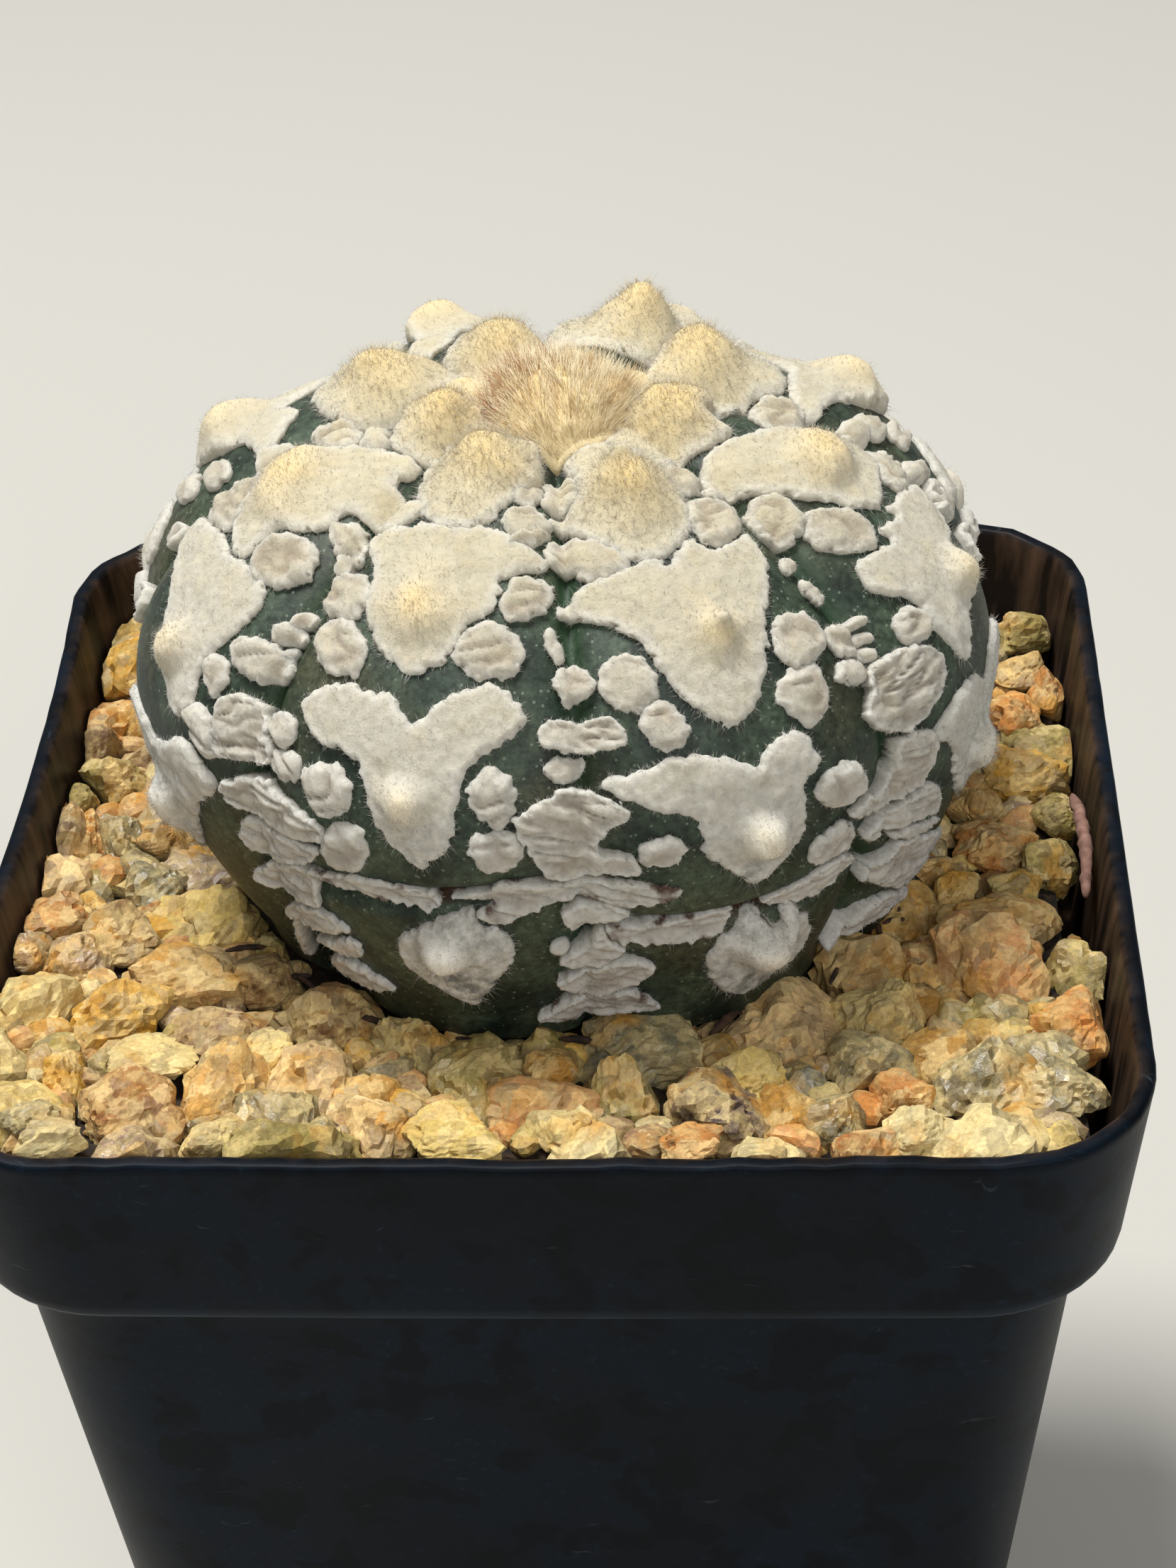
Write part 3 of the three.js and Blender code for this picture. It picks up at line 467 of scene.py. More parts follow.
def addSkin(k):
    # A grid of angle by distance from the crown on the skin, closed by a point at the crown, and under the
    # gravel by rings that shrink to the neck of the root.
    steps = ((0.3, 34, 0.7), (34, 43, 0.3), (43, outlineLength, 0.6))  # finer where the pinched folds are
    rows = np.concatenate([np.arange(*step) for step in steps])
    columns = k["columnsPerRib"] * globeSet["ribs"]
    angle, s = np.meshgrid(crestAngle(0) + np.arange(columns) * 2 * np.pi / columns, rows)
    top = skinPoint(angle, s, k["swell"] * (softNoise(angle * 6, s / 5, seed=3) - 0.5))
    under = np.stack([top[-1] * [share, share, 0] + [0, 0, z] for share, z in k["underside"]])
    r = outlineAt(s)[0]
    _, share, pinch = reliefAt(angle, s, r)
    groove = bell((1 - share) * np.pi / globeSet["ribs"] * r, 0.8) * smoothStep(s, 8, 16)
    ends = np.zeros(under.shape[:2])
    values = {"groove": groove, "fold": pinch}
    values = {name: np.concatenate([value, ends]).ravel() for name, value in values.items()}
    points = placed(np.concatenate([top, under]).reshape(-1, 3))
    faces = gridFaces(len(rows) + len(under), columns, True)
    addPiece("cactus_skin", points, faces, skinMaterial(k), "cactus_skin", values, ["cactus_body"])


addSkin(skinSet)


# Felt.
feltSet = {
    "thick": 0.42,
    "edgeRound": 0.28,
    "shownPitch": 0.18,
    "hiddenPitch": 0.3,
    "wrinkledPitch": 0.78,  # share of the pitch on bridges and strips, whose folds are fine
    "fewestTriangles": 8,  # a fleck with fewer is left out
    "nibble": 0.15,
    "nibbleSize": 1.1,
    "fraySize": 0.38,
    "grown": 0.06,
    "wrinkledGrown": -0.12,
    "wallBulge": 0.06,
    "wallTuck": 0.12,
    "sunk": 0.3,
    "waves": 0.36,
    "waveSize": 1.8,
    "nap": 0.2,
    "napSize": 0.5,
    "lumps": 0.5,
    "lumpSize": 1.2,
    "creaseDeep": 0.32,
    "foldDeep": 0.4,
    "bridging": 0.25,  # how far felt over a groove or a fold lifts back to the smooth outline
    "wrinkledBridging": 0.6,
    "napPerArea": 7,
    "domePerArea": 28,
    "fringePerMm": 13,
    "collarNap": 1.8,
    "collarFringe": 1.5,
    "hiddenHair": 0.32,
    "hiddenCollarHair": 0.8,
    "hairWide": 0.016,
    "solidsDraws": 656,  # random draws that the solids spend on their shown dots
    "fibreSize": 0.55,
    "fibreDeep": 0.35,
    "patchySize": 2.2,
    "wornSize": 1.1,
    "cream": "#e8dbb6",
    "white": "#dcd3ba",
    "whiteGrey": "#f2f0e9",
    "edgeWhite": "#f6f1e4",
    "thin": "#8c8c84",
    "yellow": "#e0ca92",
    "tan": "#dfc58b",
    # painted shade: the brown-grey laid in the valleys of the felt's folds
    "creaseShade": "#94795a",
    "dry": "#5f3d24",
}

# Areoles down each rib as distances from the crown. The first of each rib is in the crown.
areoles = [
    [8.4, 19.6, 30.6, 40.6],
    [11.6, 22.3, 34, 43],
    [7.1, 16.4, 26.8, 38],
    [9.5, 20.5, 31.5, 42],
    [12, 22.5, 33.5, 43],
    [6.6, 17.3, 28, 39],
    [10.8, 22, 33, 42.5],
    [6.5, 16.3, 27.6, 38.6],
]

# The crown's mounds of wool, one on each rib, as s, x, width and height.
crownMounds = [
    (9, -0.9, 2.3, 1.9), (12.2, -0.9, 2, 2), (7.6, -0.6, 2.2, 1.8), (9.7, 0, 2.2, 2.1),
    (12, -1.4, 1.9, 2.6), (7, 0, 2.5, 2), (10.8, 0, 2.3, 1.9), (7, 0.2, 2.2, 1.9),
]
whiteTips = {(1, 12.2): (11.2, -0.9), (1, 22.4): (22.1, 0)}  # small white tufts on the domes of two areoles

# Felt round the crown's mounds, by rib. This list and the next four give places in the photo's pixels.
shownCollars = {
    0: [(590, 670), (590, 698), (600, 725), (640, 740), (688, 728), (730, 695), (762, 668), (745, 622),
        (680, 603), (622, 640)],
    1: [(800, 640), (850, 622), (900, 632), (935, 668), (967, 708), (973, 745), (935, 780), (880, 780),
        (843, 757), (785, 733), (768, 726), (812, 703), (808, 665)],
    2: [(862, 642), (932, 657), (962, 642), (1033, 604), (990, 592), (1000, 574), (955, 560), (893, 572),
        (860, 615)],
    3: [(912, 540), (935, 500), (985, 478), (1030, 488), (1105, 522), (1108, 543), (1060, 556), (990, 590),
        (950, 562)],
    7: [(558, 612), (600, 580), (650, 574), (680, 608), (660, 642), (600, 648), (553, 622)],
}

# Felt patches as rib, their dome of wool as s, x, width and height, and their edge.
shownPatches = [
    (0, (20.1, -0.8, 1.9, 1), [(518, 755), (535, 742), (600, 735), (655, 744), (690, 740), (762, 780),
        (755, 798), (710, 812), (690, 855), (655, 880), (625, 925), (580, 947), (545, 925), (513, 860),
        (528, 795), (519, 775)]),
    (0, (30.7, 0.7, 1.25, 1.25), [(419, 998), (430, 982), (490, 962), (508, 978), (545, 980), (578, 1018),
        (640, 980), (690, 968), (738, 1008), (722, 1035), (655, 1085), (638, 1130), (635, 1180), (600, 1220),
        (580, 1220), (522, 1150), (500, 1070), (445, 1045)]),
    (0, (40.2, 2.3, 1.45, 2), [(563, 1335), (572, 1322), (645, 1298), (668, 1303), (680, 1318), (700, 1322),
        (718, 1358), (680, 1412), (662, 1420), (590, 1378), (568, 1355)]),
    (1, (22.4, -0.2, 1.5, 0.8), [(787, 858), (820, 825), (905, 788), (930, 785), (945, 795), (972, 758),
        (1006, 770), (1055, 752), (1081, 780), (1082, 870), (1078, 960), (1045, 1018), (1005, 1010),
        (945, 958), (905, 900), (860, 875), (810, 862)]),
    (1, (33.9, -0.3, 1.2, 1.6), [(858, 1106), (925, 1090), (955, 1070), (1040, 1073), (1070, 1090),
        (1090, 1050), (1125, 1032), (1158, 1070), (1135, 1115), (1135, 1175), (1105, 1218), (1070, 1245),
        (1002, 1210), (990, 1165), (915, 1140), (865, 1122)]),
    (1, (42.4, 0.7, 1.4, 1.9), [(1003, 1358), (1022, 1330), (1040, 1325), (1070, 1300), (1100, 1312),
        (1122, 1285), (1148, 1313), (1128, 1350), (1092, 1375), (1068, 1392), (1040, 1405), (1008, 1385)]),
    (2, (16.4, 0.6, 2.1, 1.2), [(990, 655), (1002, 630), (1090, 600), (1124, 603), (1138, 617), (1160, 606),
        (1228, 636), (1247, 690), (1232, 714), (1110, 692), (1045, 685), (1000, 690)]),
    (2, (26.8, 0.8, 1.4, 1.1), [(1217, 800), (1221, 785), (1262, 757), (1246, 745), (1269, 725), (1260, 710),
        (1290, 681), (1320, 705), (1344, 745), (1342, 776), (1374, 805), (1372, 860), (1368, 925),
        (1322, 880), (1300, 845), (1240, 827)]),
    (7, (16.3, -1.2, 2.3, 1.2), [(356, 660), (367, 626), (429, 622), (440, 640), (500, 626), (580, 643),
        (585, 657), (550, 670), (562, 690), (603, 706), (545, 738), (490, 711), (445, 741), (385, 743),
        (345, 776), (325, 770), (332, 720), (365, 680)]),
    (7, (27.4, 1.4, 1.5, 1.1), [(228, 885), (245, 790), (271, 727), (303, 745), (319, 776), (344, 792),
        (366, 828), (340, 875), (293, 915), (272, 950), (262, 990), (245, 1012), (232, 980)]),
]

# The usual two-armed patch, as s and x from its areole.
usualPatch = [(-4.2, -6.4), (-5.9, -4.2), (-5.6, -1.8), (-4.3, 0), (-5.9, 2.2), (-5.9, 4.4), (-4, 6.2),
              (-2.3, 4), (0.4, 2.9), (3.4, 0.2), (0.2, -2.8), (-2.5, -4.1)]

# Separate felt dots as the pixel of their middle, half width, half height and turn in degrees.
shownDots = [
    (739, 728, 33, 21, 0), (744, 754, 27, 9, 15), (745, 692, 20, 12, 0), (790, 692, 27, 20, 25),
    (826, 782, 56, 27, -15), (960, 673, 29, 18, -15), (1008, 731, 40, 32, -10), (1096, 724, 40, 30, -15),
    (1192, 741, 50, 29, -20), (1210, 604, 24, 16, -10), (1258, 656, 37, 16, -50), (1100, 578, 41, 22, -5),
    (1119, 790, 13, 11, -30), (1154, 829, 22, 7, -40), (1301, 657, 20, 10, -35), (1335, 695, 31, 8, -55),
    (485, 754, 27, 23, -20), (485, 786, 21, 10, 25), (484, 833, 35, 34, 0), (474, 609, 37, 20, 10),
    (528, 617, 21, 14, 0), (329, 703, 50, 24, 45), (396, 784, 50, 34, 25), (394, 890, 24, 15, -10),
    (418, 870, 21, 9, 30), (396, 919, 14, 7, 60), (360, 927, 43, 28, -20), (297, 952, 30, 14, 85),
    (391, 1029, 23, 17, 85), (396, 1080, 24, 19, -45), (277, 1031, 40, 14, -70), (475, 911, 40, 36, -60),
    (688, 915, 46, 44, 0), (740, 842, 40, 29, 20), (780, 904, 27, 9, -70), (809, 961, 30, 25, 60),
    (888, 960, 46, 37, -45), (941, 1025, 36, 32, -60), (799, 1088, 27, 18, 0), (694, 1125, 46, 30, -75),
    (697, 1208, 36, 28, -20), (935, 1209, 30, 21, 15), (1131, 897, 38, 36, -60), (1139, 978, 42, 36, -75),
    (1193, 1112, 37, 27, 45), (1181, 1193, 40, 18, 40), (456, 1119, 37, 31, -45), (484, 1197, 38, 32, -50),
    (1196, 899, 27, 19, -45), (1214, 874, 15, 10, 25), (1226, 896, 16, 10, 25), (1228, 919, 15, 10, 0),
    (1210, 946, 20, 18, 0), (1294, 880, 27, 22, -60), (789, 1349, 15, 8, 15),
]

# Wrinkled felt that bridges the grooves.
shownBridges = [
    [(295, 1005), (315, 976), (368, 990), (378, 1055), (370, 1080), (300, 1068)],
    [(305, 1106), (365, 1097), (386, 1125), (448, 1170), (450, 1192), (405, 1184), (350, 1150), (318, 1135)],
    [(331, 1175), (352, 1157), (439, 1202), (430, 1224), (390, 1221), (345, 1195)],
    [(352, 1233), (410, 1225), (445, 1275), (436, 1284), (375, 1254)],
    [(400, 1282), (440, 1289), (490, 1319), (452, 1321), (408, 1302)],
    [(406, 1300), (418, 1305), (430, 1364), (419, 1360)],
    [(441, 1327), (490, 1331), (507, 1357), (466, 1345)],
    [(456, 1371), (480, 1359), (547, 1395), (538, 1404), (480, 1390)],
    [(755, 1035), (772, 1018), (810, 1014), (858, 1005), (886, 1030), (875, 1055), (815, 1065), (760, 1050)],
    [(721, 1160), (760, 1132), (808, 1110), (866, 1132), (893, 1155), (862, 1174), (848, 1205), (895, 1212),
        (905, 1238), (845, 1240), (783, 1252), (745, 1210)],
    [(790, 1300), (796, 1292), (850, 1276), (897, 1295), (855, 1309), (808, 1317)],
    [(788, 1362), (825, 1345), (850, 1320), (868, 1340), (885, 1350), (841, 1373), (810, 1376)],
    [(781, 1395), (815, 1383), (880, 1360), (932, 1375), (885, 1402), (840, 1415), (796, 1405)],
    [(1230, 943), (1263, 920), (1298, 906), (1337, 920), (1339, 963), (1317, 1008), (1276, 1037),
        (1232, 1020), (1229, 965)],
    [(1208, 1148), (1262, 1095), (1275, 1050), (1326, 1031), (1322, 1085), (1277, 1130), (1214, 1157)],
    [(1224, 1180), (1290, 1130), (1324, 1104), (1330, 1145), (1272, 1170), (1236, 1190)],
    [(1263, 1182), (1300, 1167), (1338, 1150), (1315, 1174), (1272, 1190)],
    [(1222, 1240), (1258, 1215), (1285, 1186), (1334, 1172), (1305, 1225), (1280, 1255), (1235, 1250)],
    [(1176, 1341), (1200, 1312), (1258, 1269), (1297, 1262), (1285, 1300), (1266, 1332), (1190, 1350)],
    [(1222, 1349), (1245, 1339), (1268, 1337), (1250, 1353)],
]

# Wrinkled strips with dry edges along the pinched folds.
foldStrips = [
    [(422, 1236), (500, 1242), (580, 1262), (615, 1280), (612, 1296), (545, 1284), (470, 1263)],
    [(630, 1278), (680, 1266), (705, 1250), (780, 1256), (830, 1241), (953, 1258), (950, 1275), (890, 1287),
        (810, 1271), (700, 1310), (665, 1298), (690, 1284)],
    [(760, 1442), (880, 1409), (938, 1428), (880, 1435), (800, 1457)],
    [(859, 1316), (925, 1314), (1020, 1290), (1040, 1298), (1015, 1328), (900, 1341), (863, 1335)],
    [(1080, 1281), (1115, 1258), (1185, 1218), (1214, 1214), (1187, 1253), (1145, 1278), (1100, 1290)],
]


def roundEdge(down, across, long, wide, draw, turn=0):
    # An uneven ring of 5 to 7 places round a middle.
    sides = 7 if long + wide > 4 else 6 if long + wide > 2.4 else 5
    edge = []
    for i in range(sides):
        angle = (i + 0.3 * draw()) / sides * 2 * math.pi
        wobble = 0.88 + 0.24 * draw()
        a, b = turned(long * wobble * math.cos(angle), wide * wobble * math.sin(angle), math.radians(turn))
        edge.append((down + a, across + b))
    return edge


def listFlecks():
    # Every piece of felt as rib, edge, kind and dome. The hidden ones fall where the solids have them.
    draw = seeded(4711)
    drawShown = seeded(9001)
    seen = {(rib, round(areole[0])) for rib, areole, _ in shownPatches}
    flecks = [(rib, onSkin(edge, rib)[1], "patch", areole) for rib, areole, edge in shownPatches]
    for rib, row in enumerate(areoles):
        collar = []
        for i in range(9):
            angle = -i / 9 * 2 * math.pi
            reach = 4.1 + 0.7 * draw()
            down = max(row[0] + reach * math.cos(angle), 3.2)
            most = 1.02 * float(outlineAt(down)[0]) * math.pi / globeSet["ribs"]
            collar.append((down, max(-most, min(most, reach * math.sin(angle)))))
        if rib in shownCollars:
            collar = onSkin(shownCollars[rib], rib)[1]
        flecks.append((rib, collar, "collar", crownMounds[rib]))
        for number, s in enumerate(row[1:]):
            if any(r == rib and abs(place - s) < 1.6 for r, place in seen):
                continue
            narrow = min(1, (float(outlineAt(s)[0]) - 6) / 17)
            edge = []
            for ds, x in usualPatch:
                down = min(s + ds * (0.9 + 0.2 * draw()), outlineLength - 0.6)
                edge.append((down, x * narrow * (0.88 + 0.24 * draw())))
            flecks.append((rib, edge, "patch", (s, 0, 2.1 - 0.3 * number, 1.7 - 0.25 * number)))
    for across, down, long, wide, turn in shownDots:
        ring = roundEdge(across, down, long, wide, drawShown, -turn)
        flecks.append(onSkin(ring) + ("dot", None))
    flecks += [onSkin(edge) + ("bridge", None) for edge in shownBridges]
    flecks += [onSkin(edge) + ("strip", None) for edge in foldStrips]
    for _ in range(feltSet["solidsDraws"]):
        draw()
    for rib in range(3, 7):
        for s in areoles[rib][1:]:
            for side in (-1, 1):
                for ds, x in ((-0.6, 5.7), (2.6, 4.6)):
                    place = s + ds + 0.8 * (draw() - 0.5)
                    if place < 40:
                        reach = 1 + 0.2 * draw()
                        narrow = min(1, float(outlineAt(place)[0]) / 22)
                        edge = roundEdge(place, side * x * narrow, reach, reach, draw)
                        flecks.append((rib, edge, "dot", None))
    for rib in range(2, 7):
        for s in (25, 30, 35, 39.5, 44):
            place = s + draw() - 0.5
            half = float(outlineAt(place)[0]) * math.pi / globeSet["ribs"]
            wide = 1.1 + (place - 24) / 21 * 1.4
            edge = roundEdge(place, half, 1 + 0.5 * draw(), wide, draw)
            flecks.append((rib, edge, "bridge", None))
    return flecks


def smoothLoop(edge, perSide=7):
    # A closed curve through the edge's places, with perSide points to each span.
    p = np.array(edge, float)
    t = (np.arange(perSide) / perSide)[None, :, None]
    return cubic(*(np.roll(p, shift, 0)[:, None, :] for shift in (1, 0, -1, -2)), t).reshape(-1, 2)


def insideDistance(s, x, loop):
    # Distance to the closed loop, positive where a line sideways crosses the loop an odd number of times.
    span = np.roll(loop, -1, 0) - loop
    ps, px = s.reshape(-1, 1) - loop[:, 0], x.reshape(-1, 1) - loop[:, 1]
    t = np.clip((ps * span[:, 0] + px * span[:, 1]) / np.maximum((span**2).sum(1), 1e-9), 0, 1)
    distance = np.hypot(ps - t * span[:, 0], px - t * span[:, 1]).min(1)
    level = np.where(np.abs(span[:, 0]) < 1e-9, 1e-9, span[:, 0])
    crosses = ((ps < 0) != (ps < span[:, 0])) & (px < span[:, 1] * ps / level)
    return np.where(crosses.sum(1) % 2 == 1, distance, -distance).reshape(s.shape)


def creases(along, across, seed, sharp=5):
    # Narrow valleys: 1 - |2 noise - 1| to a power, long in one direction and short in the other.
    return (1 - np.abs(2 * softNoise(along, across, seed=seed) - 1)) ** sharp


def feltTop(rib, kind, s, x, inside, middle, dome, seed):
    # Thickness of the felt: rounded at its edge as a quarter circle, waved, rough with nap, folded like
    # crumpled cloth on dots and bridges, and raised round its areole by height times exp(-(away / width)^p).
    k = feltSet
    edge = 1 - np.clip(inside / k["edgeRound"], 0, 1)
    body = k["thick"] * (0.5 + 0.5 * np.sqrt(1 - edge**2))
    waves = roughNoise(s / k["waveSize"], x / k["waveSize"], seed=seed, layers=2) - 0.5
    nap = roughNoise(s / k["napSize"], x / k["napSize"], seed=seed + 20, layers=2) - 0.5
    ds, dx = s - middle[0], x - middle[1]
    tan, folded = np.zeros_like(s), np.zeros_like(s)
    if dome:
        collar = kind == "collar"
        sway = 1 + 0.6 * (softNoise(s / 1.7, x / 1.7, seed=seed + 3) - 0.5)
        away = np.hypot(s - dome[0], x - dome[1]) * sway
        steep = 2.1 if collar else 2.8 + 0.5 * (dome[0] > 37)
        lumps = roughNoise(s / k["lumpSize"], x / k["lumpSize"], seed=seed + 60, layers=3) - 0.5
        body = body + bell(away, dome[2], steep) * (dome[3] + k["lumps"] * lumps * collar)
        tan = bell(away, (1.05 if collar else 0.85) * dome[2])
        if (rib, dome[0]) in whiteTips:
            place = whiteTips[rib, dome[0]]
            near = bell(np.hypot(s - place[0], x - place[1]), 0.5)
            body = body + 0.9 * near
            tan = tan * (1 - near)
    if kind == "dot":
        bend = 0.5 * np.sin(seed)
        folded = creases((dx - bend * ds) / 2, (ds + bend * dx) / 0.8, seed, 3)
        body = body + 0.25 * smoothStep(inside, 0, 0.7) + 0.1 * bell(inside - 0.4, 0.25)
    elif kind in ("bridge", "strip"):
        bend = 0.3 * np.sin(seed)
        folded = creases((dx + bend * ds) / 2.4, (ds - bend * dx) / 0.5, seed, 2.5)
        folded = np.maximum(folded, 0.7 * creases((dx - bend * ds) / 1.7, ds / 0.8, seed + 5, 3))
    fade = smoothStep(inside, 0, 0.35)
    deep = k["foldDeep"] if kind in ("bridge", "strip") else k["creaseDeep"]
    body = body + fade * (k["waves"] * waves + k["nap"] * nap - deep * folded)
    return body, tan, folded * fade


def feltFleck(rib, edge, kind, dome, pitch, seed):
    # A thick sheet on the skin: grid places of s and x within the edge's loop, those nearest to the loop
    # moved onto it, raised by the felt's thickness, with walls that bulge out and tuck in under the sheet.
    k = feltSet
    wrinkled = kind in ("bridge", "strip")
    loop = smoothLoop(edge)
    low, high = loop.min(0) - 4 * pitch, loop.max(0) + 4 * pitch
    high[0] = min(high[0], outlineLength)
    s, x = np.meshgrid(np.arange(low[0], high[0], pitch), np.arange(low[1], high[1], pitch), indexing="ij")
    nibble = roughNoise(s / k["nibbleSize"], x / k["nibbleSize"], seed=seed + 40, layers=2) - 0.5
    fray = roughNoise(s / k["fraySize"], x / k["fraySize"], seed=seed + 80, layers=2) - 0.5
    grown = k["wrinkledGrown"] if wrinkled else k["grown"]
    inside = insideDistance(s, x, loop) + grown + k["nibble"] * (2 * nibble + 3.6 * fray)
    slopeS, slopeX = np.gradient(inside, pitch)
    steep = np.maximum(np.hypot(slopeS, slopeX), 0.2)
    near = np.abs(inside) < 0.55 * pitch * steep
    s = s - np.where(near, inside * slopeS / steep**2, 0)
    x = x - np.where(near, inside * slopeX / steep**2, 0)
    inside = np.where(near, 0, inside)
    number = np.arange(s.size).reshape(s.shape)
    a, b, c, d = number[:-1, :-1], number[1:, :-1], number[1:, 1:], number[:-1, 1:]
    ka, kb, kc, kd = (inside.ravel()[corner] >= 0 for corner in (a, b, c, d))
    halves = ((a, b, c, ka & kb & kc), (a, c, d, ka & kc & kd), (a, b, d, ka & kb & kd & ~kc),
              (b, c, d, kb & kc & kd & ~ka))
    triangles = np.concatenate([np.stack([p, q, r], -1)[whole] for p, q, r, whole in halves])
    s, x, inside = s.ravel(), x.ravel(), inside.ravel()
    outS, outX = (-slopeS / steep).ravel(), (-slopeX / steep).ravel()
    height, tan, folded = feltTop(rib, kind, s, x, inside, loop.mean(0), dome, seed)
    r = np.maximum(outlineAt(s)[0], 1)
    sunken = -reliefAt(crestAngle(rib) + x / r, s, r)[0]
    lift = k["wrinkledBridging" if wrinkled else "bridging"] * np.maximum(sunken, 0)
    layers = [placed(ribPoint(rib, s + out * outS, x + out * outX, above)) for out, above in (
        (0, height + lift), (k["wallBulge"], 0.3 * k["thick"] + 0.8 * lift), (-k["wallTuck"], -k["sunk"]))]
    rim = bell(inside, 0.45)
    sheer = np.full_like(s, 0.1)
    if kind == "patch":
        sheer = smoothStep(s, 29, 41) * (1 - np.minimum(1, 2 * tan)) * (0.4 + 0.6 * bell(x - dome[1], 1.7))
    dry = rim * (kind == "strip")
    values = {"tan": tan, "crease": folded, "down": s, "rim": rim, "dry": dry, "sheer": sheer}
    return closedSheet(triangles, layers, values) + (len(triangles),)


def scatterOn(points, faces, count, chance, rng):
    # Random places on triangles, with a chance by area and a weight, and the faces' outward directions.
    a, b, c = points[faces[:, 0]], points[faces[:, 1]], points[faces[:, 2]]
    cross = np.cross(b - a, c - a)
    share = np.linalg.norm(cross, axis=1) * chance
    pick = rng.choice(len(faces), count, p=share / share.sum())
    u, v = rng.rand(2, count, 1)
    u, v = np.where(u + v > 1, 1 - u, u), np.where(u + v > 1, 1 - v, v)
    return a[pick] + u * (b - a)[pick] + v * (c - a)[pick], unit(cross[pick]), pick


def areaOf(points, faces):
    a, b, c = points[faces[:, 0]], points[faces[:, 1]], points[faces[:, 2]]
    return 0.5 * np.linalg.norm(np.cross(b - a, c - a), axis=1)


def hairs(roots, ways, lengths, wide, curl, segments, rng):
    # Each hair is a three-sided spike: its centre line is root + way t + bend t^2, its width shrinks to a
    # point with (1 - t)^0.7, and its root is closed by a triangle.
    count = len(roots)
    ways = unit(ways)
    side = unit(np.cross(ways, rng.randn(count, 3)))
    other = np.cross(ways, side)
    bend = (side * rng.randn(count, 1) + other * rng.randn(count, 1)) * curl
    lengths = np.asarray(lengths).reshape(-1, 1)
    wide = np.broadcast_to(np.asarray(wide, float).reshape(-1, 1), (count, 1))
    rows = []
    for k in range(segments):
        t = k / segments
        centre = roots + lengths * (ways * t + bend * t * t)
        for corner in range(3):
            angle = 2 * math.pi * corner / 3
            rows.append(centre + wide * (1 - t) ** 0.7 * (math.cos(angle) * side + math.sin(angle) * other))
    rows.append(roots + lengths * (ways + bend))
    tip = 3 * segments
    pattern = [(0, 2, 1)]
    for k in range(segments - 1):
        for i in range(3):
            a, b = 3 * k + i, 3 * k + (i + 1) % 3
            pattern += [(a, b, b + 3), (a, b + 3, a + 3)]
    pattern += [(tip - 3 + i, tip - 3 + (i + 1) % 3, tip) for i in range(3)]
    points = np.stack(rows, 1).reshape(-1, 3)
    faces = (np.array(pattern)[None] + (tip + 1) * np.arange(count)[:, None, None]).reshape(-1, 3)
    return points, faces


def feltMaterial(k):
    # Wool of short plant hairs felted together: no gloss at all and a soft glow of light inside it, tan on
    # the domes, cream with yellow clouds near the crown, grey-white low on the flanks, white at its edges.
    material, tree, shader = newMaterial("feltedPlantWool", {
        "Roughness": 0.95, "Specular IOR Level": 0.1, "Sheen Weight": 0.2, "Sheen Roughness": 0.6,
        "Subsurface Weight": 0.35, "Subsurface Scale": 0.0006, "Subsurface Radius": (1.0, 0.88, 0.7),
    })
    where = addNode(tree, "TexCoord").outputs["Object"]
    fibre, patchy, worn = (
        addNode(tree, "TexNoise", {"Scale": perMetre(k[size]), "Detail": detail, "Roughness": rough,
                                   "Distortion": twist, "Vector": where})
        for size, detail, rough, twist in (
            ("fibreSize", 8, 0.78, 0.25), ("patchySize", 4, 0.5, 0), ("wornSize", 6, 0.65, 0)))
    fact = {name: addNode(tree, "Attribute", {"attribute_name": name}).outputs["Fac"]
            for name in ("down", "tan", "crease", "rim", "dry", "sheer")}
    fromCrown, yellowHigh, tanHigh, grainShare, firm = (
        addNode(tree, "MapRange", {"Value": fact[name], "From Min": start, "From Max": end, "To Min": first,
                                   "To Max": last})
        for name, start, end, first, last in (
            ("down", 8, 42, 0, 1), ("down", 22, 40, 1, 0.15), ("down", 10, 34, 1, 0.3),
            ("tan", 0, 1, 0.6, 0.2), ("tan", 0, 1, 0.9, 0.35)))
    cloud, thinness, dryEdge, grain = (
        addNode(tree, "ValToRGB", {"stops": stops, 0: noise}) for noise, stops in (
            (patchy, [(0.5, 0.0), (0.68, 0.4)]), (worn, [(0.4, 1.0), (0.58, 0.0)]),
            (patchy, [(0.56, 0.0), (0.64, 1.0)]), (fibre, [(0.38, 0.74), (0.58, 1.05)])))
    wander = addNode(tree, "Math", {"operation": "MULTIPLY_ADD", 0: patchy, 1: 0.9, 2: -0.45})
    shade = addNode(tree, "Math", {"operation": "ADD", "use_clamp": True, 0: fromCrown, 1: wander})
    stops = [(0.0, k["cream"]), (0.4, k["white"]), (1.0, k["whiteGrey"])]
    wool = addNode(tree, "ValToRGB", {"stops": stops, 0: shade})
    # The crease share lays painted shade in the valleys of the folds.
    for first, second, colour in (
            (cloud, yellowHigh, "yellow"), (fact["crease"], 0.55, "creaseShade"), (fact["rim"], 0.6, "edgeWhite"),
            (fact["tan"], tanHigh, "tan"), (thinness, fact["sheer"], "thin"), (dryEdge, fact["dry"], "dry")):
        share = addNode(tree, "Math", {"operation": "MULTIPLY", 0: first, 1: second})
        wool = layered(tree, wool, [(share, k[colour])])
    wool = layered(tree, wool, [(grainShare, grain)], "MULTIPLY")
    bump = addNode(tree, "Bump", {"Distance": k["fibreDeep"] * metre, "Height": fibre, "Strength": firm})
    fillSockets(tree, shader, {"Base Color": wool, "Normal": bump})
    return material


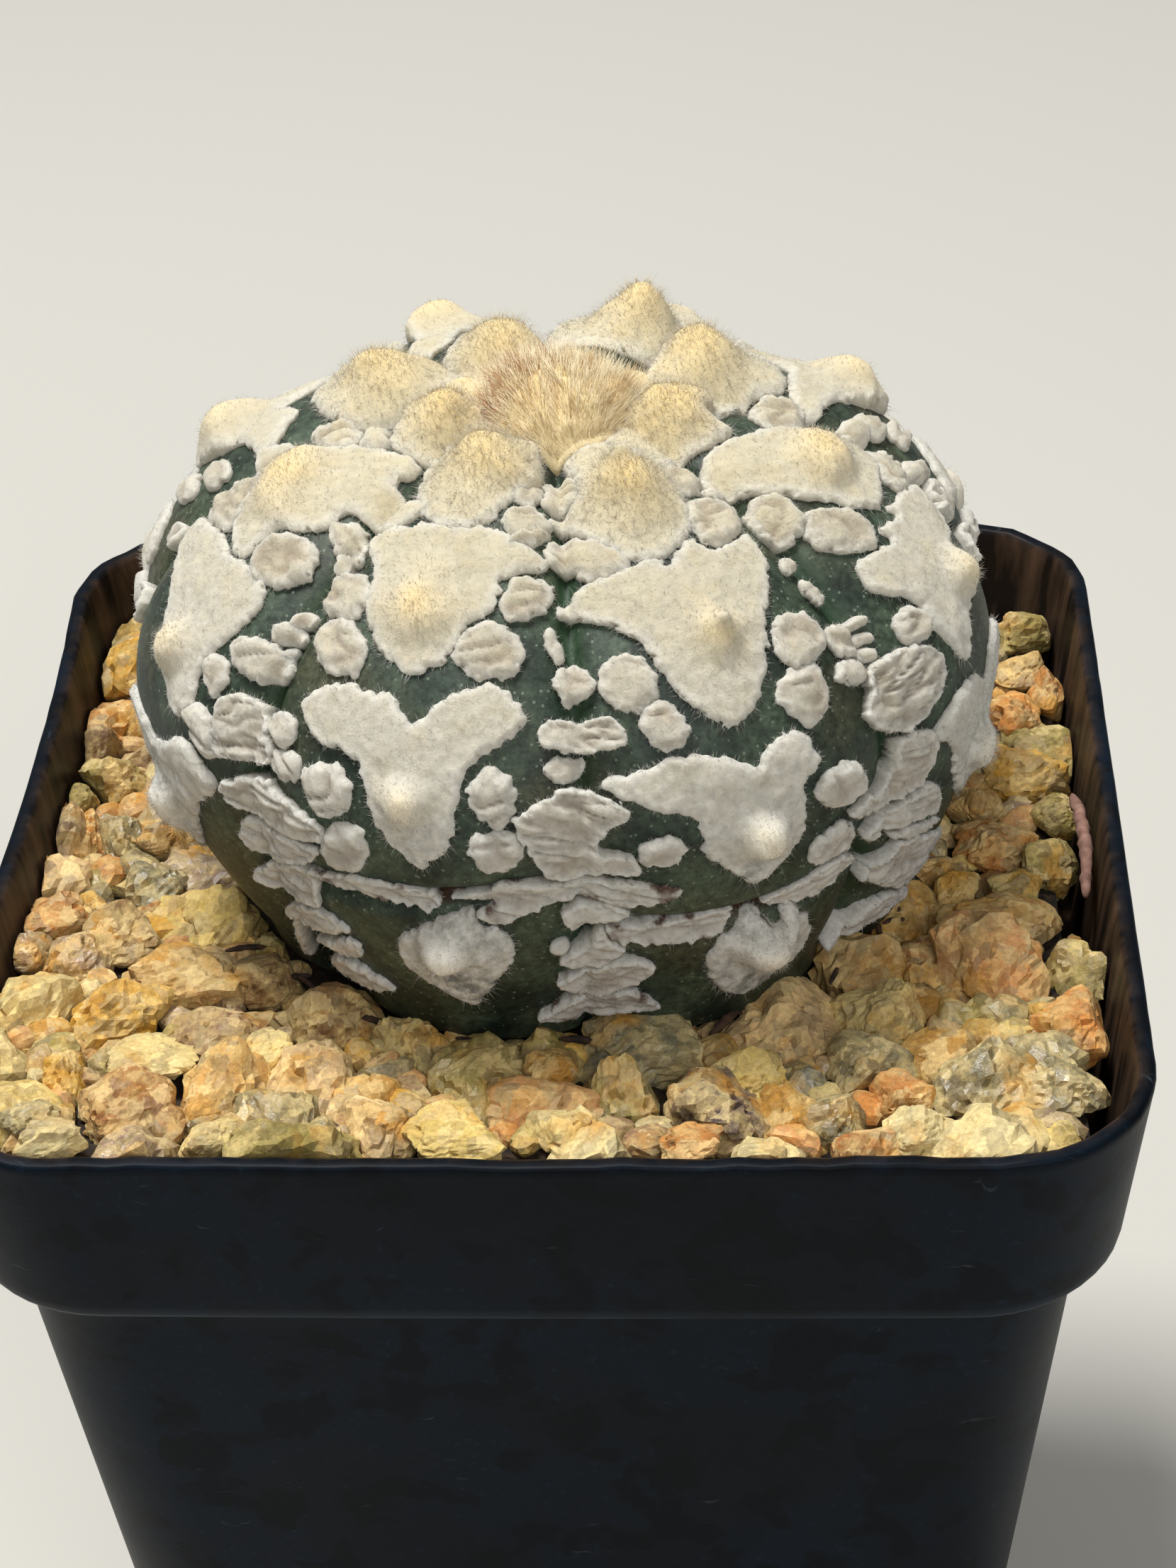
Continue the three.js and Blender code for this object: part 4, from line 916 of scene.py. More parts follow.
def fleckHairs(rib, kind, dome, points, faces, values, topCount, share, rng):
    # Nap lies on the felt and streams away from its dome or middle, the dome itself is thick with upright
    # wool, and a fringe stands out from the bulging wall round the edge, longest below the dome.
    k = feltSet
    collar = kind == "collar"
    top, walls = faces[:topCount], faces[2 * topCount:]
    tanAt = values["tan"][top[:, 0]]
    weight = k["napPerArea"] * (k["collarNap"] if collar else 1) + k["domePerArea"] * tanAt
    count = int((areaOf(points, top) * weight).sum() * share)
    middle = points[top].mean((0, 1))
    if dome:
        middle = placed(ribPoint(rib, np.array(dome[0]), np.array(dome[1]), 0.0))
    root, out, pick = scatterOn(points, top, count, weight, rng)
    tall = tanAt[pick][:, None]
    ways = out * (0.35 + 0.65 * tall) + unit(root - middle) * (0.5 - 0.2 * tall) + 0.5 * rng.randn(count, 3)
    long = 0.24 + (0.5 if collar else 0.2) * rng.rand(count)
    long = long + (0.7 if collar else 0.3) * tall[:, 0] * rng.rand(count) ** 2
    parts = [(root - 0.03 * out, ways, long, top[pick, 0])]
    rimLength = areaOf(points, walls).sum() / k["thick"]
    count = int(rimLength * k["fringePerMm"] * share * (k["collarFringe"] if collar else 1))
    root, out, pick = scatterOn(points, walls, count, np.ones(len(walls)), rng)
    below = smoothStep(values["down"][walls[pick, 0]] - (dome[0] if dome else 99), 1.5, 3.5)
    ways = out + (0.3 + 0.5 * below[:, None]) * unit(root - middle) + 0.45 * rng.randn(count, 3)
    long = (0.14 + 0.3 * rng.rand(count) ** 1.4) * (1 + 0.8 * below) * (1.5 if dome else 1)
    parts.append((root - 0.05 * out, ways, long, walls[pick, 0]))
    made = []
    for root, ways, long, at in parts:
        held = {name: np.repeat(values[name][at], 4) for name in ("tan", "down", "rim")}
        held["tan"] = held["tan"] * 0.6  # painted light: paler than the wool, offsetting the hairs' shade
        held["crease"] = held["dry"] = held["sheer"] = np.zeros(len(root) * 4)
        made.append(hairs(root, ways, long, k["hairWide"], 0.25, 1, rng) + (held,))
    return made


def addFelt(k):
    material = feltMaterial(k)
    rng = np.random.RandomState(31)
    felt, fuzz = ({rib: [] for rib in range(globeSet["ribs"])} for _ in range(2))
    for seed, (rib, edge, kind, dome) in enumerate(listFlecks()):
        shown = rib in (0, 1, 2, 7)
        pitch = k["shownPitch" if shown else "hiddenPitch"]
        pitch = pitch * (k["wrinkledPitch"] if kind in ("bridge", "strip") else 1)
        points, faces, values, topCount = feltFleck(rib, edge, kind, dome, pitch, seed)
        if topCount < k["fewestTriangles"]:
            continue
        felt[rib].append((points, faces, values))
        share = 1 if shown else k["hiddenCollarHair" if kind == "collar" else "hiddenHair"]
        fuzz[rib] += fleckHairs(rib, kind, dome, points, faces, values, topCount, share, rng)
    for rib in felt:
        for name, parts in ((f"felt_rib_{rib}", felt[rib]), (f"felt_fuzz_{rib}", fuzz[rib])):
            points, faces, values = joined(parts)
            addPiece(name, points, faces, material, "plant_wool", values)
    return material


wool = addFelt(feltSet)


# Crown tuft.
tuftSet = {
    "grid": (46, 120),
    "middle": (0.5, -1.5),
    "radius": 4.5,
    "height": 2.8,
    "skirt": 6.4,
    "skirtThick": 0.6,
    "combedFrom": (1, -5, 0.2),  # a place on the head's front foot, from its middle: the hairs fan out of it
    "brushCount": 3400,
    "brushLong": (0.9, 2.2),
    "brushWide": 0.022,
    "fluffCount": 4000,
    "fluffLong": (0.3, 0.9),
    "fluffWide": 0.016,
    "witheredCount": 280,
    "witheredWide": 0.026,
    "cream": "#f2e2bc",
    "straw": "#bd9762",
    "withered": "#9c5f3c",
    "palerWithered": "#bd8259",
}


def strandMaterial(name, pale, dark):
    # Dry plant hair: thin matt strands, pale at the root and darker at the tip, no two of one colour.
    material, tree, shader = newMaterial(name, {
        "Roughness": 0.85, "Specular IOR Level": 0.15, "Sheen Weight": 0.15,
    })
    hue = addNode(tree, "Attribute", {"attribute_name": "strand"}).outputs["Fac"]
    colour = addNode(tree, "ValToRGB", {"stops": [(0.15, pale), (0.95, dark)], 0: hue})
    fillSockets(tree, shader, {"Base Color": colour})
    return material


def strandValues(tone, segments):
    # One value a point: each hair's own tone from 0 to 1, growing towards its tip.
    along = np.concatenate([np.repeat(np.arange(segments) / segments, 3), [1]])
    return {"strand": np.clip(tone[:, None] * (0.45 + 0.75 * along), 0, 1).ravel()}


def witheredChance(away):
    # Two bell-shaped spots on the head: one on its left flank and one on its left shoulder at the back.
    left = np.exp(-(((away[:, 0] + 3.4) / 0.9) ** 2 + ((away[:, 1] + 1.2) / 1.3) ** 2))
    back = np.exp(-(((away[:, 0] + 1.9) / 1.3) ** 2 + ((away[:, 1] - 1.6) / 1.2) ** 2))
    return left + 1.4 * back + 1e-9


def addTuft(k, wool):
    # Felt lies over the crown's middle and swells to a head of wool: its height over the skin is a thin
    # sheet, rounded at the edge, plus half an ellipse. Hairs are combed over the head in a fan.
    rng = np.random.RandomState(8)
    rows, columns = k["grid"]
    angle, s = np.meshgrid(np.arange(columns) / columns * 2 * np.pi, np.linspace(0.02, k["skirt"], rows))
    ragged = 1 + 0.35 * (softNoise(2.2 * np.cos(angle) + 7, 2.2 * np.sin(angle) + 7, seed=6) - 0.5)
    edge = np.clip((s / k["skirt"] - 0.9) / 0.1, 0, 1)
    far = s * ragged
    x, y = far * np.cos(angle), far * np.sin(angle)
    lump = roughNoise(x / 1.3 + 9, y / 1.3 + 9, seed=2) - 0.5
    away = np.hypot(x - k["middle"][0], y - k["middle"][1]) / (k["radius"] * (1 + 0.3 * lump))
    lift = k["skirtThick"] * np.sqrt(1 - edge**2) + 0.7 * lump
    lift = lift + k["height"] * np.sqrt(np.maximum(1 - away**2, 0))
    under = np.stack([skinPoint(angle[-1], far[-1] * share, -0.35) for share in (0.97, 0.5, 0.004)])
    points = placed(np.concatenate([skinPoint(angle, far, lift), under]).reshape(-1, 3))
    faces = gridFaces(rows + len(under), columns, True)
    values = {name: np.zeros(len(points)) for name in ("crease", "rim", "dry", "sheer")}
    values["tan"] = np.concatenate([0.5 + 0.5 * bell(s, 5, 4), np.zeros(under.shape[:2])]).ravel()
    values["down"] = np.full(len(points), 8.0)
    addPiece("crown_tuft", points, faces, wool, "plant_wool", values, ["crown_wool"])
    crown = placed(skinPoint(np.array(0.0), np.array(0.02), 0.0)) + np.array(k["middle"] + (0,))
    comb = crown + np.array(k["combedFrom"])
    triangles = asTriangles(faces[:(rows - 1) * columns])
    reach = np.linalg.norm((points[triangles[:, 0]] - crown)[:, :2], axis=1)
    parts = []
    for count, limit, (low, high), wide, segments, flat in (
            (k["brushCount"], 1.05 * k["radius"], k["brushLong"], k["brushWide"], 2, 1.1),
            (k["fluffCount"], 7, k["fluffLong"], k["fluffWide"], 1, 0.3)):
        root, out, _ = scatterOn(points, triangles, count, (reach < limit) + 1e-9, rng)
        over = root - comb
        fan = np.arctan2(over[:, 0], np.hypot(over[:, 1], over[:, 2]))
        streak = softNoise(fan * 16, np.linalg.norm(over, axis=1) * 0.5, seed=12)
        sweep = unit(over) + 0.35 * (streak[:, None] - 0.5) * [1, 0, 0]
        ways = unit(out) * 0.8 + flat * sweep + [0, 0, 0.35] + 0.2 * rng.randn(count, 3)
        long = low + (high - low) * rng.rand(count) ** 1.3
        tone = np.clip(1.4 * smoothStep(streak, 0.4, 0.8) * (0.3 + 0.7 * rng.rand(count)), 0, 1)
        tone = tone * (0.35 + 0.65 * smoothStep(root[:, 2] - crown[2], 0.5, 2.6))
        made = hairs(root - 0.1 * out, ways, long, wide, 0.15, segments, rng)
        parts.append(made + (strandValues(tone, segments),))
    hair, hairFaces, values = joined(parts)
    straw = strandMaterial("dryWoolStraw", k["cream"], k["straw"])
    addPiece("crown_tuft_hair", hair, hairFaces, straw, "plant_wool", values)
    # Withered reddish hairs curl on the left and the back of the tuft.
    count = k["witheredCount"]
    root, out, _ = scatterOn(points, triangles, count, witheredChance(points[triangles[:, 0]] - crown), rng)
    ways = out + [-0.5, 0.1, 0.5] + 0.5 * rng.randn(count, 3)
    made = hairs(root, ways, 0.8 + 1.1 * rng.rand(count), k["witheredWide"], 0.6, 3, rng)
    red = strandMaterial("witheredHair", k["palerWithered"], k["withered"])
    addPiece("crown_withered_hair", *made, red, "plant_wool", strandValues(0.2 + 0.8 * rng.rand(count), 3))


addTuft(tuftSet, wool)


# Pot.
potSet = {
    "height": 75,
    "rimSide": 70,
    "rimCorner": 9,
    "baseCorner": 7,
    "lipHeight": 12.4,
    "lipStep": 2,
    "draft": 0.107,
    "wall": 1.1,
    "floor": 1.8,
    "foot": 1.5,
    "footRadius": 4,
    "footPlace": 18.5,
    "drainRadius": 2.8,
    "drainPlace": 11,
    "bows": (0, 0, -1.0, 0.15),  # how far the lip's right, back, left and front sides stand out
    "trim": 0.32,
    "cloudSize": 14,
    "speckSize": 0.5,
    "speckDeep": 0.05,
    "warpSize": 2.5,
    "warpFar": 3.2,
    "scratchSize": 3.4,
    "streakSize": 1.6,
    "black": "#010409",
    "dust": "#0c1925",
    # grey of the scuffs and of the painted highlight along the lip's lower edge
    "scuffAndHighlight": "#48525a",
    "soilDark": "#1a1512",
    "soilPale": "#5a4636",
    "blotchSize": 3.4,
}


def squareRing(perSide, perCorner):
    # A square ring with round corners as centre and normal lists: a ring's point is reach * centre +
    # corner * normal. side numbers the straight sides and along runs from -1 to 1 on each.
    centre, normal, side, along = [], [], [], []
    for quarter in range(4):
        turn = quarter * np.pi / 2
        way = np.array([np.cos(turn), np.sin(turn)])
        across = np.array([-np.sin(turn), np.cos(turn)])
        t = np.linspace(-1, 1, perSide)
        bend = np.arange(1, perCorner) / perCorner * np.pi / 2
        centre += [way + t[:, None] * across, np.repeat((way + across)[None], perCorner - 1, 0)]
        arc = np.cos(bend)[:, None] * way + np.sin(bend)[:, None] * across
        normal += [np.repeat(way[None], perSide, 0), arc]
        side += [quarter] * (perSide + perCorner - 1)
        along += list(t) + [1] * (perCorner - 1)
    return np.concatenate(centre), np.concatenate(normal), np.array(side), np.array(along)


def potRows(k):
    # The wall's section as half width, corner radius, height and inside share, from the outer foot up over
    # the lip and the rim and down inside. Edges are rounded with a few rows.
    top, wall, corner, base = k["height"], k["wall"], k["rimCorner"], k["baseCorner"]
    lipBottom = top - k["lipHeight"]
    ledge = lipBottom + wall
    floorTop = k["foot"] + k["floor"]

    def lipHalf(z):
        return k["rimSide"] / 2 - k["draft"] * (top - z)

    def bodyHalf(z):
        return lipHalf(z) - k["lipStep"]

    rows = [(bodyHalf(z) - back, base, z, 0) for z, back in ((1.5, 0.8), (1.7, 0.25), (2.1, 0))]
    rows += [(bodyHalf(z), np.interp(z, [2, lipBottom], [base, corner - 1]), z, 0)
             for z in np.linspace(4, lipBottom - 1, 26)]
    # A fillet under the lip, then the lip's rounded lower edge.
    rows += [(bodyHalf(lipBottom) + 0.12, corner - 0.9, lipBottom - 0.35, 0),
             (bodyHalf(lipBottom) + 0.5, corner - 0.6, lipBottom - 0.04, 0),
             (lipHalf(lipBottom) - 0.45, corner - 0.2, lipBottom, 0),
             (lipHalf(lipBottom) - 0.12, corner, lipBottom + 0.12, 0),
             (lipHalf(lipBottom), corner, lipBottom + 0.4, 0)]
    rows += [(lipHalf(z), corner, z, 0) for z in np.linspace(lipBottom + 1, top - 0.8, 14)]
    # The rim, as far in from the lip's face, off the corner, below the top and inside.
    rows += [(lipHalf(top) - back, corner - less, top - below, share) for back, less, below, share in (
        (0.02, 0, 0.3, 0), (0.1, 0, 0.08, 0), (0.28, 0.2, 0, 0), (0.78, 0.75, 0, 0.2),
        (0.98, 0.95, 0.08, 0.6), (wall, wall, 0.4, 1))]
    rows += [(lipHalf(z) - wall, corner - wall, z, 1) for z in np.linspace(top - 1.2, ledge + 0.5, 10)]
    rows += [(lipHalf(ledge) - wall - 0.1, corner - wall, ledge + 0.1, 1),
             (bodyHalf(ledge) - wall, corner - wall - 1, ledge, 1)]
    rows += [(bodyHalf(z) - wall, corner - wall - 1, z, 1) for z in np.linspace(ledge - 2, floorTop + 1, 10)]
    return np.array(rows + [(bodyHalf(floorTop) - wall - 0.8, base - wall, floorTop, 1)])


def potMaterial(k):
    # Injection-moulded black polypropylene: a satin surface with a dusty film, blotches where water dried,
    # fine scuffs, soil stains that ran down inside, and a painted highlight along the lip's lower edge.
    material, tree, shader = newMaterial("mouldedPolypropylene", {"IOR": 1.49, "Specular IOR Level": 0.1})
    where = addNode(tree, "TexCoord").outputs["Object"]
    warp = addNode(tree, "TexNoise", {"Scale": perMetre(k["warpSize"]), "Detail": 3, "Vector": where})
    shift = addNode(tree, "VectorMath", {
        "operation": "SCALE", "Scale": k["warpFar"] * metre, 0: warp.outputs["Color"]})
    bent = addNode(tree, "VectorMath", {"operation": "ADD", 0: where, 1: shift})
    lines = addNode(tree, "Mapping", {"Scale": (1, 1, 7), "Rotation": (0.2, 0.5, 0), "Vector": bent})
    upright = addNode(tree, "Mapping", {"Scale": (1, 1, 0.12), "Vector": where})
    cloud, speck, spots, scratch, streak = (
        addNode(tree, "TexNoise", {"Scale": perMetre(k[size]), "Detail": detail, "Roughness": rough,
                                   "Vector": at})
        for size, detail, rough, at in (
            ("cloudSize", 6, 0.62, where), ("speckSize", 3, 0.5, where), ("blotchSize", 2, 0.5, bent),
            ("scratchSize", 3, 0.5, lines), ("streakSize", 4, 0.5, upright)))
    film, dried, specks, scratched, soiled = (
        addNode(tree, "ValToRGB", {"stops": stops, 0: noise}) for noise, stops in (
            (cloud, [(0.36, 0.3), (0.66, 1.3)]), (spots, [(0.4, 0.2), (0.47, 1.0)]),
            (speck, [(0.62, 0.5), (0.75, 1.6)]), (scratch, [(0.7, 0.0), (0.8, 0.45)]),
            (streak, [(0.4, k["soilDark"]), (0.75, k["soilPale"])])))
    inside, worn = (addNode(tree, "Attribute", {"attribute_name": name}).outputs["Fac"]
                    for name in ("inside", "worn"))
    # painted highlight: a pale grey line along the lip's lower edge, broken up by the cloud noise
    lipHighlight = addNode(tree, "Math", {"operation": "MULTIPLY", 0: worn, 1: cloud})
    film = layered(tree, film, [(1.0, dried), (1.0, specks)], "MULTIPLY")
    plastic = layered(tree, k["black"], [
        (film, k["dust"]), (lipHighlight, k["scuffAndHighlight"]), (scratched, k["scuffAndHighlight"]), (inside, soiled)])
    gloss = addNode(tree, "MapRange", {"To Min": 0.34, "To Max": 0.62, "Value": cloud})
    bump = addNode(tree, "Bump", {"Strength": 0.25, "Distance": k["speckDeep"] * metre, "Height": speck})
    fillSockets(tree, shader, {"Base Color": plastic, "Roughness": gloss, "Normal": bump})
    return material


def stackedDiscs(rows, x, y, sides=28):
    # A round solid from rows of radius and height about an upright axis at x and y.
    ring = np.arange(sides) / sides * 2 * np.pi
    radius, height = (np.array(column)[:, None] for column in zip(*rows))
    points = np.stack([x + radius * np.cos(ring), y + radius * np.sin(ring), height + 0 * ring], -1)
    return points.reshape(-1, 3), gridFaces(len(rows), sides, True)[:, ::-1], {}


def addPot(k):
    # The wall's section carried round the square ring: each point is (half - corner) * centre + corner *
    # normal. The lip's sides bow by (1 - along^2), and the rim has a trimmed, uneven edge.
    centre, normal, side, along = squareRing(34, 12)
    rows = potRows(k)
    half, corner, z = (rows[:, i][:, None] for i in range(3))
    plane = (half - corner)[..., None] * centre + corner[..., None] * normal
    bow = np.array(k["bows"])[side] * (1 - along**2) * smoothStep(z, 25, 72)
    plane = plane + bow[..., None] * normal
    edgeNoise = softNoise(centre[:, 0] * 16 + normal[:, 0] * 8, centre[:, 1] * 16 + normal[:, 1] * 8, seed=6)
    height = z + k["trim"] * (edgeNoise - 0.5) * smoothStep(z, k["height"] - 1.4, k["height"])
    wall = np.concatenate([plane, height[..., None]], -1)
    caps = wall[[0, -1]] * [0.001, 0.001, 1]
    points = np.concatenate([caps[:1], wall, caps[1:]]).reshape(-1, 3)
    # painted highlight along the lip's lower edge, on the outside only
    lipEdge = k["height"] - k["lipHeight"] + 0.15
    worn = 0.9 * bell(rows[:, 2] - lipEdge, 0.22) * (1 - rows[:, 3])
    values = {"inside": np.concatenate([[0], rows[:, 3], [1]]).repeat(len(centre)),
              "worn": np.concatenate([[0], worn, [0]]).repeat(len(centre))}
    faces = gridFaces(len(rows) + 2, len(centre), True)[:, ::-1]
    material = potMaterial(k)
    pot = addPiece("pot_shell", points, faces, material, "pot_plastic", values, ["pot"])
    # Five drain holes through the floor, and four round feet under it.
    corners = ((1, 1), (1, -1), (-1, 1), (-1, -1))
    radius = k["drainRadius"]
    section = [(0.001, -1), (radius, -1), (radius, 6), (0.001, 6)]
    places = [(x * k["drainPlace"], y * k["drainPlace"]) for x, y in ((0, 0),) + corners]
    points, faces, _ = joined([stackedDiscs(section, *place) for place in places])
    drill = addPiece("drill", points, faces, material, "pot_plastic")
    cut = pot.modifiers.new("drains", "BOOLEAN")
    cut.operation, cut.object, cut.solver = "DIFFERENCE", drill, "EXACT"
    graph = bpy.context.evaluated_depsgraph_get()
    cutMesh = bpy.data.meshes.new_from_object(pot.evaluated_get(graph))
    pot.modifiers.clear()
    pot.data = cutMesh
    bpy.data.objects.remove(drill)
    radius, top = k["footRadius"], k["foot"] + 0.3
    section = [(0.001, 0), (radius - 0.4, 0), (radius - 0.1, 0.1), (radius, 0.4), (radius, top), (0.001, top)]
    places = [(x * k["footPlace"], y * k["footPlace"]) for x, y in corners]
    points, faces, _ = joined([stackedDiscs(section, *place) for place in places])
    plain = {"inside": np.zeros(len(points)), "worn": np.zeros(len(points))}
    addPiece("pot_feet", points, faces, material, "pot_plastic", plain)


addPot(potSet)


# Gravel.
gravelSet = {
    "bedBelowGrains": 2.1,
    "pitch": 5.1,
    "drawsPerShownGrain": 14,
    "drawsPerFiller": 10,
    "footClear": 20.8,  # no small grains nearer to the middle of the cactus
    "stoneDrop": (1.3, 0.6),  # least depth under the gravel's level, and how much more it can be
    "stoneShape": (0.85, 0.75),
    "crumbs": 240,
    "crumbDrop": (1.9, 0.5),
    "crumbShape": (0.8, 0.7),
    "crumbTints": ["tan", "brown", "ochre", "orangeBrown", "darkPurple", "grey", "olive"],
    "stonePitch": 1.7,
    "facets": 16,
    "sharpness": 13,
    "bedHalf": 31.2,
    "bedLumps": 1.1,
    "bedFloor": 61.3,
    "bedCells": 64,
    # partly the fines' own colour, partly painted shade deep in the gaps between the grains
    "finesAndGapShadeDark": "#140e08",
    "finesPale": "#41301f",
}

graniteSet = {
    "crustSize": 1.5,
    "warpSize": 0.8,
    "warpFar": 1.6,
    "crystalSize": 1.1,
    "gritSize": 0.3,
    "stainSize": 3.2,
    "deep": 0.22,
    "pale": "#ebcf88",
    "rust": "#c48c2e",
    "feldspar": "#ecd296",
    "quartz": "#837150",
}

# The grains' colours, seen on cleaned granite grit.
tints = {
    "cream": "#d8c07e",
    "pale": "#d7c590",
    "paleYellow": "#d4b664",
    "yellow": "#c89530",
    "ochre": "#b48335",
    "orange": "#bf7d37",
    "orangeBrown": "#a16730",
    "pinkOrange": "#cb9259",
    "creamOrange": "#d1a057",
    "creamPink": "#d3af7c",
    "greyPink": "#a1886f",
    "pinkBrown": "#8d6a4b",
    "tan": "#b58e54",
    "brown": "#856339",
    "olive": "#8d7c3c",
    "grey": "#8e8362",
    "yellowGrey": "#a49257",
    "quartz": "#887d5b",
    "greyQuartz": "#837d63",
    "darkPurple": "#503d39",
}
clearTints = ("quartz", "greyQuartz", "grey", "greyPink", "yellowGrey")

# Grains that show, as x, y, half width, half height, turn in degrees and tint.
shownGrains = [
    (-32.6, 2.7, 1.5, 2.9, 0, "greyPink"), (-30.8, 3.3, 1.4, 2.7, 20, "orange"),
    (-28.2, 3.3, 1.8, 2.7, 60, "quartz"), (-25.3, -2.4, 2.3, 2.3, 10, "greyQuartz"),
    (-31, -7.2, 2.6, 1.3, 5, "orange"), (-26.7, -9.1, 2.2, 1.5, 80, "brown"),
    (-20.7, -6.7, 3.1, 2.7, 30, "paleYellow"), (-32, -11, 1.5, 1.2, 0, "greyPink"),
    (-28.7, -11.2, 2.4, 1.9, 40, "greyPink"), (-22.3, -13.5, 3.3, 1.7, -25, "tan"),
    (-16.9, -13.5, 2.3, 2, 15, "brown"), (-30.4, -15.9, 2.6, 3, 70, "cream"),
    (-25.1, -17.4, 2.8, 1.9, 10, "yellow"), (-12.5, -17.2, 3.3, 2.2, 20, "brown"),
    (-18.8, -19.4, 2.8, 1.7, -10, "pinkBrown"), (-22.7, -22.5, 2.8, 1.2, 0, "cream"),
    (-12.6, -23.1, 2.9, 3.2, 35, "creamPink"), (-23.3, -27.9, 2.5, 1.9, 12, "orangeBrown"),
    (-17.9, -25.7, 2.8, 2.4, 50, "creamOrange"), (-27.9, -29.2, 1.6, 1.4, 0, "grey"),
    (-26.4, -31.8, 2, 1.1, 5, "pale"), (-27.4, -23.6, 1.5, 2, 30, "yellow"),
    (-7.4, -20, 2.2, 2.9, 75, "cream"), (-3.4, -23.6, 3.6, 3, 15, "yellowGrey"),
    (-4.1, -31.2, 2.6, 1.2, 0, "paleYellow"), (-8.3, -29.3, 1.9, 1.9, 45, "creamPink"),
    (1.3, -23.7, 1.4, 1.2, 0, "ochre"), (-15.7, -21.9, 1.6, 1.4, 20, "cream"),
    (-17.7, -31.6, 1.6, 1.1, 0, "cream"), (6.3, -21.4, 3.7, 2.1, -8, "greyQuartz"),
    (5.1, -26, 2.4, 2.7, 60, "yellowGrey"), (1.9, -30.2, 1.6, 1.5, 10, "cream"),
    (10.2, -27.8, 3.1, 2, -12, "darkPurple"), (12, -24.9, 2.5, 1.4, 0, "paleYellow"),
    (14.7, -28, 1.4, 2.1, 80, "ochre"), (17.2, -29.1, 1.8, 1.9, 15, "quartz"),
    (14.3, -18.6, 3.7, 2.8, 25, "creamPink"), (20.2, -17.4, 2.6, 2.5, 50, "cream"),
    (19.1, -23.1, 2.3, 1.7, 0, "grey"), (26.8, -12.7, 3.8, 3.3, 30, "pinkOrange"),
    (28, -7.2, 3.2, 1.7, -5, "tan"), (31, -18.5, 2.2, 2.2, 10, "orange"),
    (31.4, -12, 1.6, 2.4, 85, "yellowGrey"), (25.3, -24.9, 3.1, 2.6, 40, "quartz"),
    (29.9, -25.4, 2.4, 1.6, -20, "grey"), (31, -0.2, 2, 2.1, 5, "olive"), (27.7, 1.4, 2.6, 1.7, 15, "orange"),
    (24.6, -4.1, 1.5, 1.5, 0, "yellow"), (30.9, 28.4, 2, 1.7, 0, "olive"), (29.8, 17.1, 2, 1.9, 30, "orange"),
    (32.2, 20, 1.3, 1.7, 60, "orange"), (30, 10.3, 3.1, 2.2, -10, "yellow"), (30.6, 22.6, 1.9, 1.4, 0, "tan"),
    (9.1, -32, 1.7, 1, 0, "orange"), (21, -27.5, 1.7, 1.4, 20, "orange"), (21.6, -30.8, 2, 1.3, 0, "pale"),
    (28.8, -3.5, 1.5, 1.2, 0, "olive"), (26.9, 6, 1.5, 1.5, 40, "tan"), (31.6, 5, 1.5, 1.4, 0, "olive"),
    (-31.6, 13.7, 1.3, 1.6, 10, "pinkBrown"), (-28.8, 16.4, 1.4, 2, 50, "ochre"),
    (-29.7, 9.8, 2, 1.8, 0, "olive"), (-32, 7.4, 1.4, 1.2, 0, "olive"), (-25.8, 3, 1.5, 1.5, 30, "tan"),
]


def gravelLevel(y):
    # Height of the gravel against y: level with the rim at the front and lower at the back.
    return potSet["height"] + np.interp(y, [-36, -30, -20, 0, 30, 36], [0.3, -0.8, -2.2, -3.8, -4.5, -4.5])


def fillerGrains(k):
    # The grains between the shown ones, on the solids' loose grid and with the same draws.
    draw = seeded(2027)
    for _ in range(len(shownGrains) * k["drawsPerShownGrain"]):
        draw()
    pitch = k["pitch"]
    reach = potSet["rimSide"] / 2 - potSet["wall"] - 1.6
    found = []
    lines = int(2 * reach // pitch) + 1
    for row in range(lines):
        for column in range(lines):
            x = -reach + (column + 0.5 * (row % 2)) * pitch + 1.2 * (draw() - 0.5)
            y = -reach + row * pitch + 1.2 * (draw() - 0.5)
            wide = 2.5 + 1.1 * draw()
            tall = wide * (0.65 + 0.25 * draw())
            turn = 180 * draw()
            away = math.hypot(x - globeSet["place"][0], y - globeSet["place"][1])
            nearest = min(math.hypot(x - g[0], y - g[1]) - 0.8 * g[2] for g in shownGrains)
            atCorner = math.hypot(max(0, abs(x) - 25), max(0, abs(y) - 25)) > 8
            if away > 20.5 and nearest > 1.1 and not atCorner and x < reach:
                found.append((x, y, wide, tall, turn, 0 if nearest > 3 else 0.7))
                for _ in range(k["drawsPerFiller"]):
                    draw()
    return found


def ballGrid(n):
    # A ball of quads: the six faces of a cube cut into n by n, pushed out to a sphere and welded.
    step = np.tan(np.linspace(-np.pi / 4, np.pi / 4, n + 1))
    u, v = (a.ravel() for a in np.meshgrid(step, step, indexing="ij"))
    one = np.ones_like(u)
    sides = ((one, u, v), (-one, v, u), (v, one, u), (u, -one, v), (u, v, one), (v, u, -one))
    points = unit(np.concatenate([np.stack(side, 1) for side in sides]))
    quads = np.concatenate([gridFaces(n + 1, n + 1, False) + k * (n + 1) ** 2 for k in range(6)])
    _, first, inverse = np.unique(points.round(5), axis=0, return_index=True, return_inverse=True)
    return points[first], inverse.reshape(-1)[quads]


